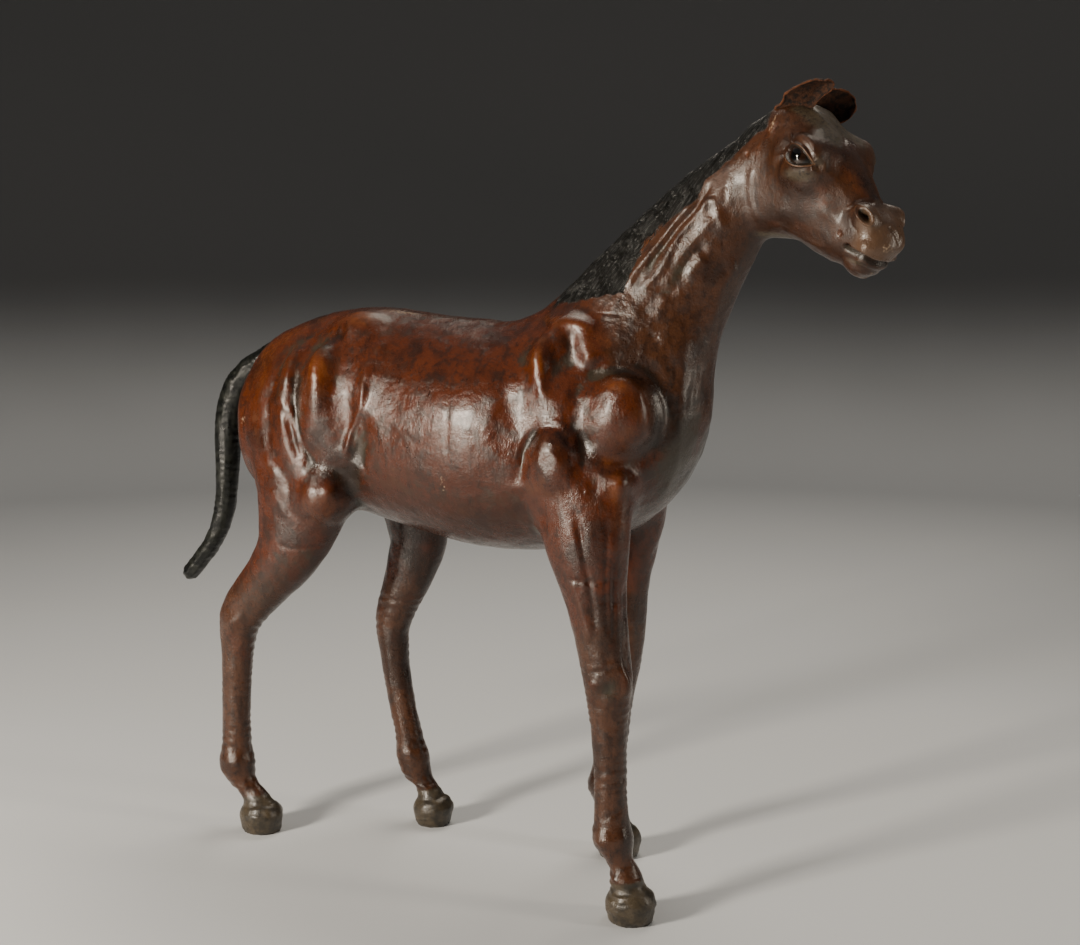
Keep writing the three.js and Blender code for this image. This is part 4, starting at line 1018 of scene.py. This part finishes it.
# Each ear is a leaf cut from thick leather, rough on its hollow side, with raw rust-brown edges that
# have frayed. Its root is pushed into a slit in the poll.
EAR_NET = 0.0007
EAR_LIFT = 0.391
suede = Finish("cut_leather")
for node in ("ear_right", "ear_left"):
    ear = copy_of(node, "leaf_" + node)
    even_net(ear, EAR_NET, 12)
    thin = standing_out(ear, 25)
    points = read_points(ear)
    fray = rough_noise(points, 5, 30) + 0.6 * rough_noise(points, 2, 60)
    store(ear, "edge", ramp(0.15, 0.8, thin))
    cut = ramp(0.1, 0.8, thin)
    move_out(ear, (0.55 * fray - 0.1) * (0.35 + cut) + 0.5 * cut)
    points = read_points(ear)
    if node == "ear_right":
        # This ear is folded double towards its tip, so its lower edge stands higher there.
        places = picture_of(points)
        upper_edge = np.interp(places[:, 0], (780, 786, 796, 814, 832), (104, 95, 85.5, 80, 80.5))
        points[:, 2] += EAR_LIFT * ramp(799, 826, places[:, 0]) * np.maximum(places[:, 1] - upper_edge, 0)
    points = np.clip(points, *BOX_MM)
    write_points(ear, points)
    only(ear)
    bpy.ops.object.shade_smooth()
    ear.data.materials.append(suede.material)
    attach(ear, "root")
    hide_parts(node)
nap, blotch = suede.noise(0.9, 5, 0.7), suede.noise(5, 6, 0.7)
colour = suede.mix(suede.spread(blotch, 0.40, 0.60), (0.008, 0.004, 0.0025), (0.050, 0.018, 0.007))
edge = suede.around(blotch, 0.5, 1.2, suede.mask("edge"))
colour = suede.layer(colour, edge, 0.45, 1.05, 0.95, (0.110, 0.034, 0.011))
colour = suede.layer(colour, nap, 0.5, 0.8, 0.5, (0.006, 0.003, 0.002))
normal = suede.bump(blotch, 1.0)
normal = suede.bump(nap, 0.5, normal)
suede.end(colour, 0.82, normal, Specular_IOR_Level=0.3)

# The tail is a strip of black leather rolled over a cord and let into the rump. It is drawn in tight
# rings and cut off straight at its end.
TAIL_NET = 0.0013
TAIL_RINGS, TAIL_WRINKLES = 7.5, 3.4
black = Finish("black_leather")
tail = copy_of("tail", "leather_tail")
even_net(tail, TAIL_NET, 16)
points = read_points(tail)
bend = rough_noise(points, 22, 80)
down = np.where(points[:, 2] > 470, (520 - points[:, 2]) + 0.8 * (-262 - points[:, 0]), 520 - points[:, 2])
rings = np.sin((down + 5 * bend) * 2 * math.pi / TAIL_RINGS) * ramp(-0.5, 0.5, rough_noise(points, 18, 160))
wrinkles = np.sin((down + 4 * bend) * 2 * math.pi / TAIL_WRINKLES)
rings += 0.5 * wrinkles * ramp(0.2, -0.5, rough_noise(points, 14, 260))
move_out(tail, 0.22 * rings + 0.8 * rough_noise(points, 13, 300) - 0.3)
# How deep each point lies in the wrinkles, darkened there as painted shade.
store(tail, "deep", ramp(0.05, -0.5, standing_out(tail, 8)))
only(tail)
bpy.ops.object.shade_smooth()
blotch, grain = black.noise(11, 6, 0.6), black.noise(1.6, 5, 0.6)
colour = black.mix(black.spread(blotch, 0.4, 0.65), (0.003, 0.0034, 0.003), (0.012, 0.013, 0.010))
# Painted shade: the deep wrinkles are darker.
colour = black.mix(black.mask("deep"), colour, (0.004, 0.004, 0.0035))
normal = black.bump(blotch, 0.6)
normal = black.bump(grain, 0.25, normal)
gloss = black.spread(blotch, 0.3, 0.7, 0.26, 0.40)
tail.data.materials.append(black.end(colour, gloss, normal, Specular_IOR_Level=0.35))
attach(tail, "root")
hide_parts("tail")

# The studio: a pale floor that curves up into a darker wall all round, a soft box to the left of the
# camera with a weaker one below it, a tall strip ahead of the nose, and a broad one high up behind.
FLOOR_RADIUS, COVE_RADIUS, COVE_STEPS, WALL_HEIGHT = 2.6, 1.2, 12, 1.6
PALE_GREY, WALL_GREY = (0.68, 0.70, 0.72), (0.085, 0.087, 0.092)
bpy.ops.object.select_all(action="DESELECT")
bpy.ops.mesh.primitive_circle_add(vertices=96, radius=FLOOR_RADIUS, fill_type="NGON")
floor = bpy.context.object
floor.name = "floor"
bpy.ops.object.mode_set(mode="EDIT")
bpy.ops.mesh.select_all(action="SELECT")
bpy.ops.mesh.inset(thickness=0.9)
bpy.ops.mesh.select_all(action="DESELECT")
bpy.ops.object.mode_set(mode="OBJECT")
rim = [math.hypot(v.co.x, v.co.y) > FLOOR_RADIUS - 0.1 for v in floor.data.vertices]
floor.data.vertices.foreach_set("select", rim)
floor.data.edges.foreach_set("select", [all(rim[v] for v in edge.vertices) for edge in floor.data.edges])
bpy.ops.object.mode_set(mode="EDIT")
reach = FLOOR_RADIUS
for step in range(1, COVE_STEPS + 1):
    angle = step / COVE_STEPS * math.pi / 2
    wanted = FLOOR_RADIUS + COVE_RADIUS * math.sin(angle)
    rise = COVE_RADIUS * (math.cos(angle - math.pi / 2 / COVE_STEPS) - math.cos(angle))
    bpy.ops.mesh.extrude_edges_move(TRANSFORM_OT_translate={"value": (0, 0, rise)})
    bpy.ops.transform.resize(value=(wanted / reach, wanted / reach, 1))
    reach = wanted
bpy.ops.mesh.extrude_edges_move(TRANSFORM_OT_translate={"value": (0, 0, WALL_HEIGHT)})
bpy.ops.mesh.select_all(action="SELECT")
bpy.ops.mesh.normals_make_consistent(inside=True)
bpy.ops.object.mode_set(mode="OBJECT")
bpy.ops.object.shade_smooth()
paper = Finish("pale_floor")
separate = paper.new("SeparateXYZ")
paper.feed(separate.inputs["Vector"], paper.place)
wall = paper.math("MULTIPLY_ADD", paper.noise(900, 2), 0.1, separate.outputs["Z"])
wall = paper.spread(wall, -0.02, 0.62)
floor.data.materials.append(paper.end(paper.mix(wall, PALE_GREY, WALL_GREY), 0.85))


def soft_box(name, place, aim, size, watts):
    data = bpy.data.lights.new(name, "AREA")
    data.shape = "RECTANGLE"
    data.size, data.size_y = size
    data.energy = watts
    data.color = (1.0, 0.90, 0.76)
    item = bpy.data.objects.new(name, data)
    item.location = place
    item.rotation_euler = (Vector(aim) - Vector(place)).to_track_quat("-Z", "Y").to_euler()
    bpy.context.scene.collection.objects.link(item)


soft_box("soft_box_left", (-0.85, -1.75, 0.85), (0, 0, 0.42), (0.32, 0.46), 54)
soft_box("soft_box_low", (-0.88, -1.70, 0.19), (0, 0, 0.16), (0.30, 0.34), 9)
soft_box("strip_ahead", (1.7, 0.30, 0.70), (0.05, 0, 0.45), (0.22, 0.8), 8)
soft_box("soft_box_over", (-0.1, 1.0, 2.2), (0, 0, 0.35), (1.3, 1.3), 24)
world = bpy.data.worlds.new("studio")
world.use_nodes = True
world.node_tree.nodes["Background"].inputs["Color"].default_value = (0.90, 0.92, 0.95, 1)
world.node_tree.nodes["Background"].inputs["Strength"].default_value = 0.16
bpy.context.scene.world = world
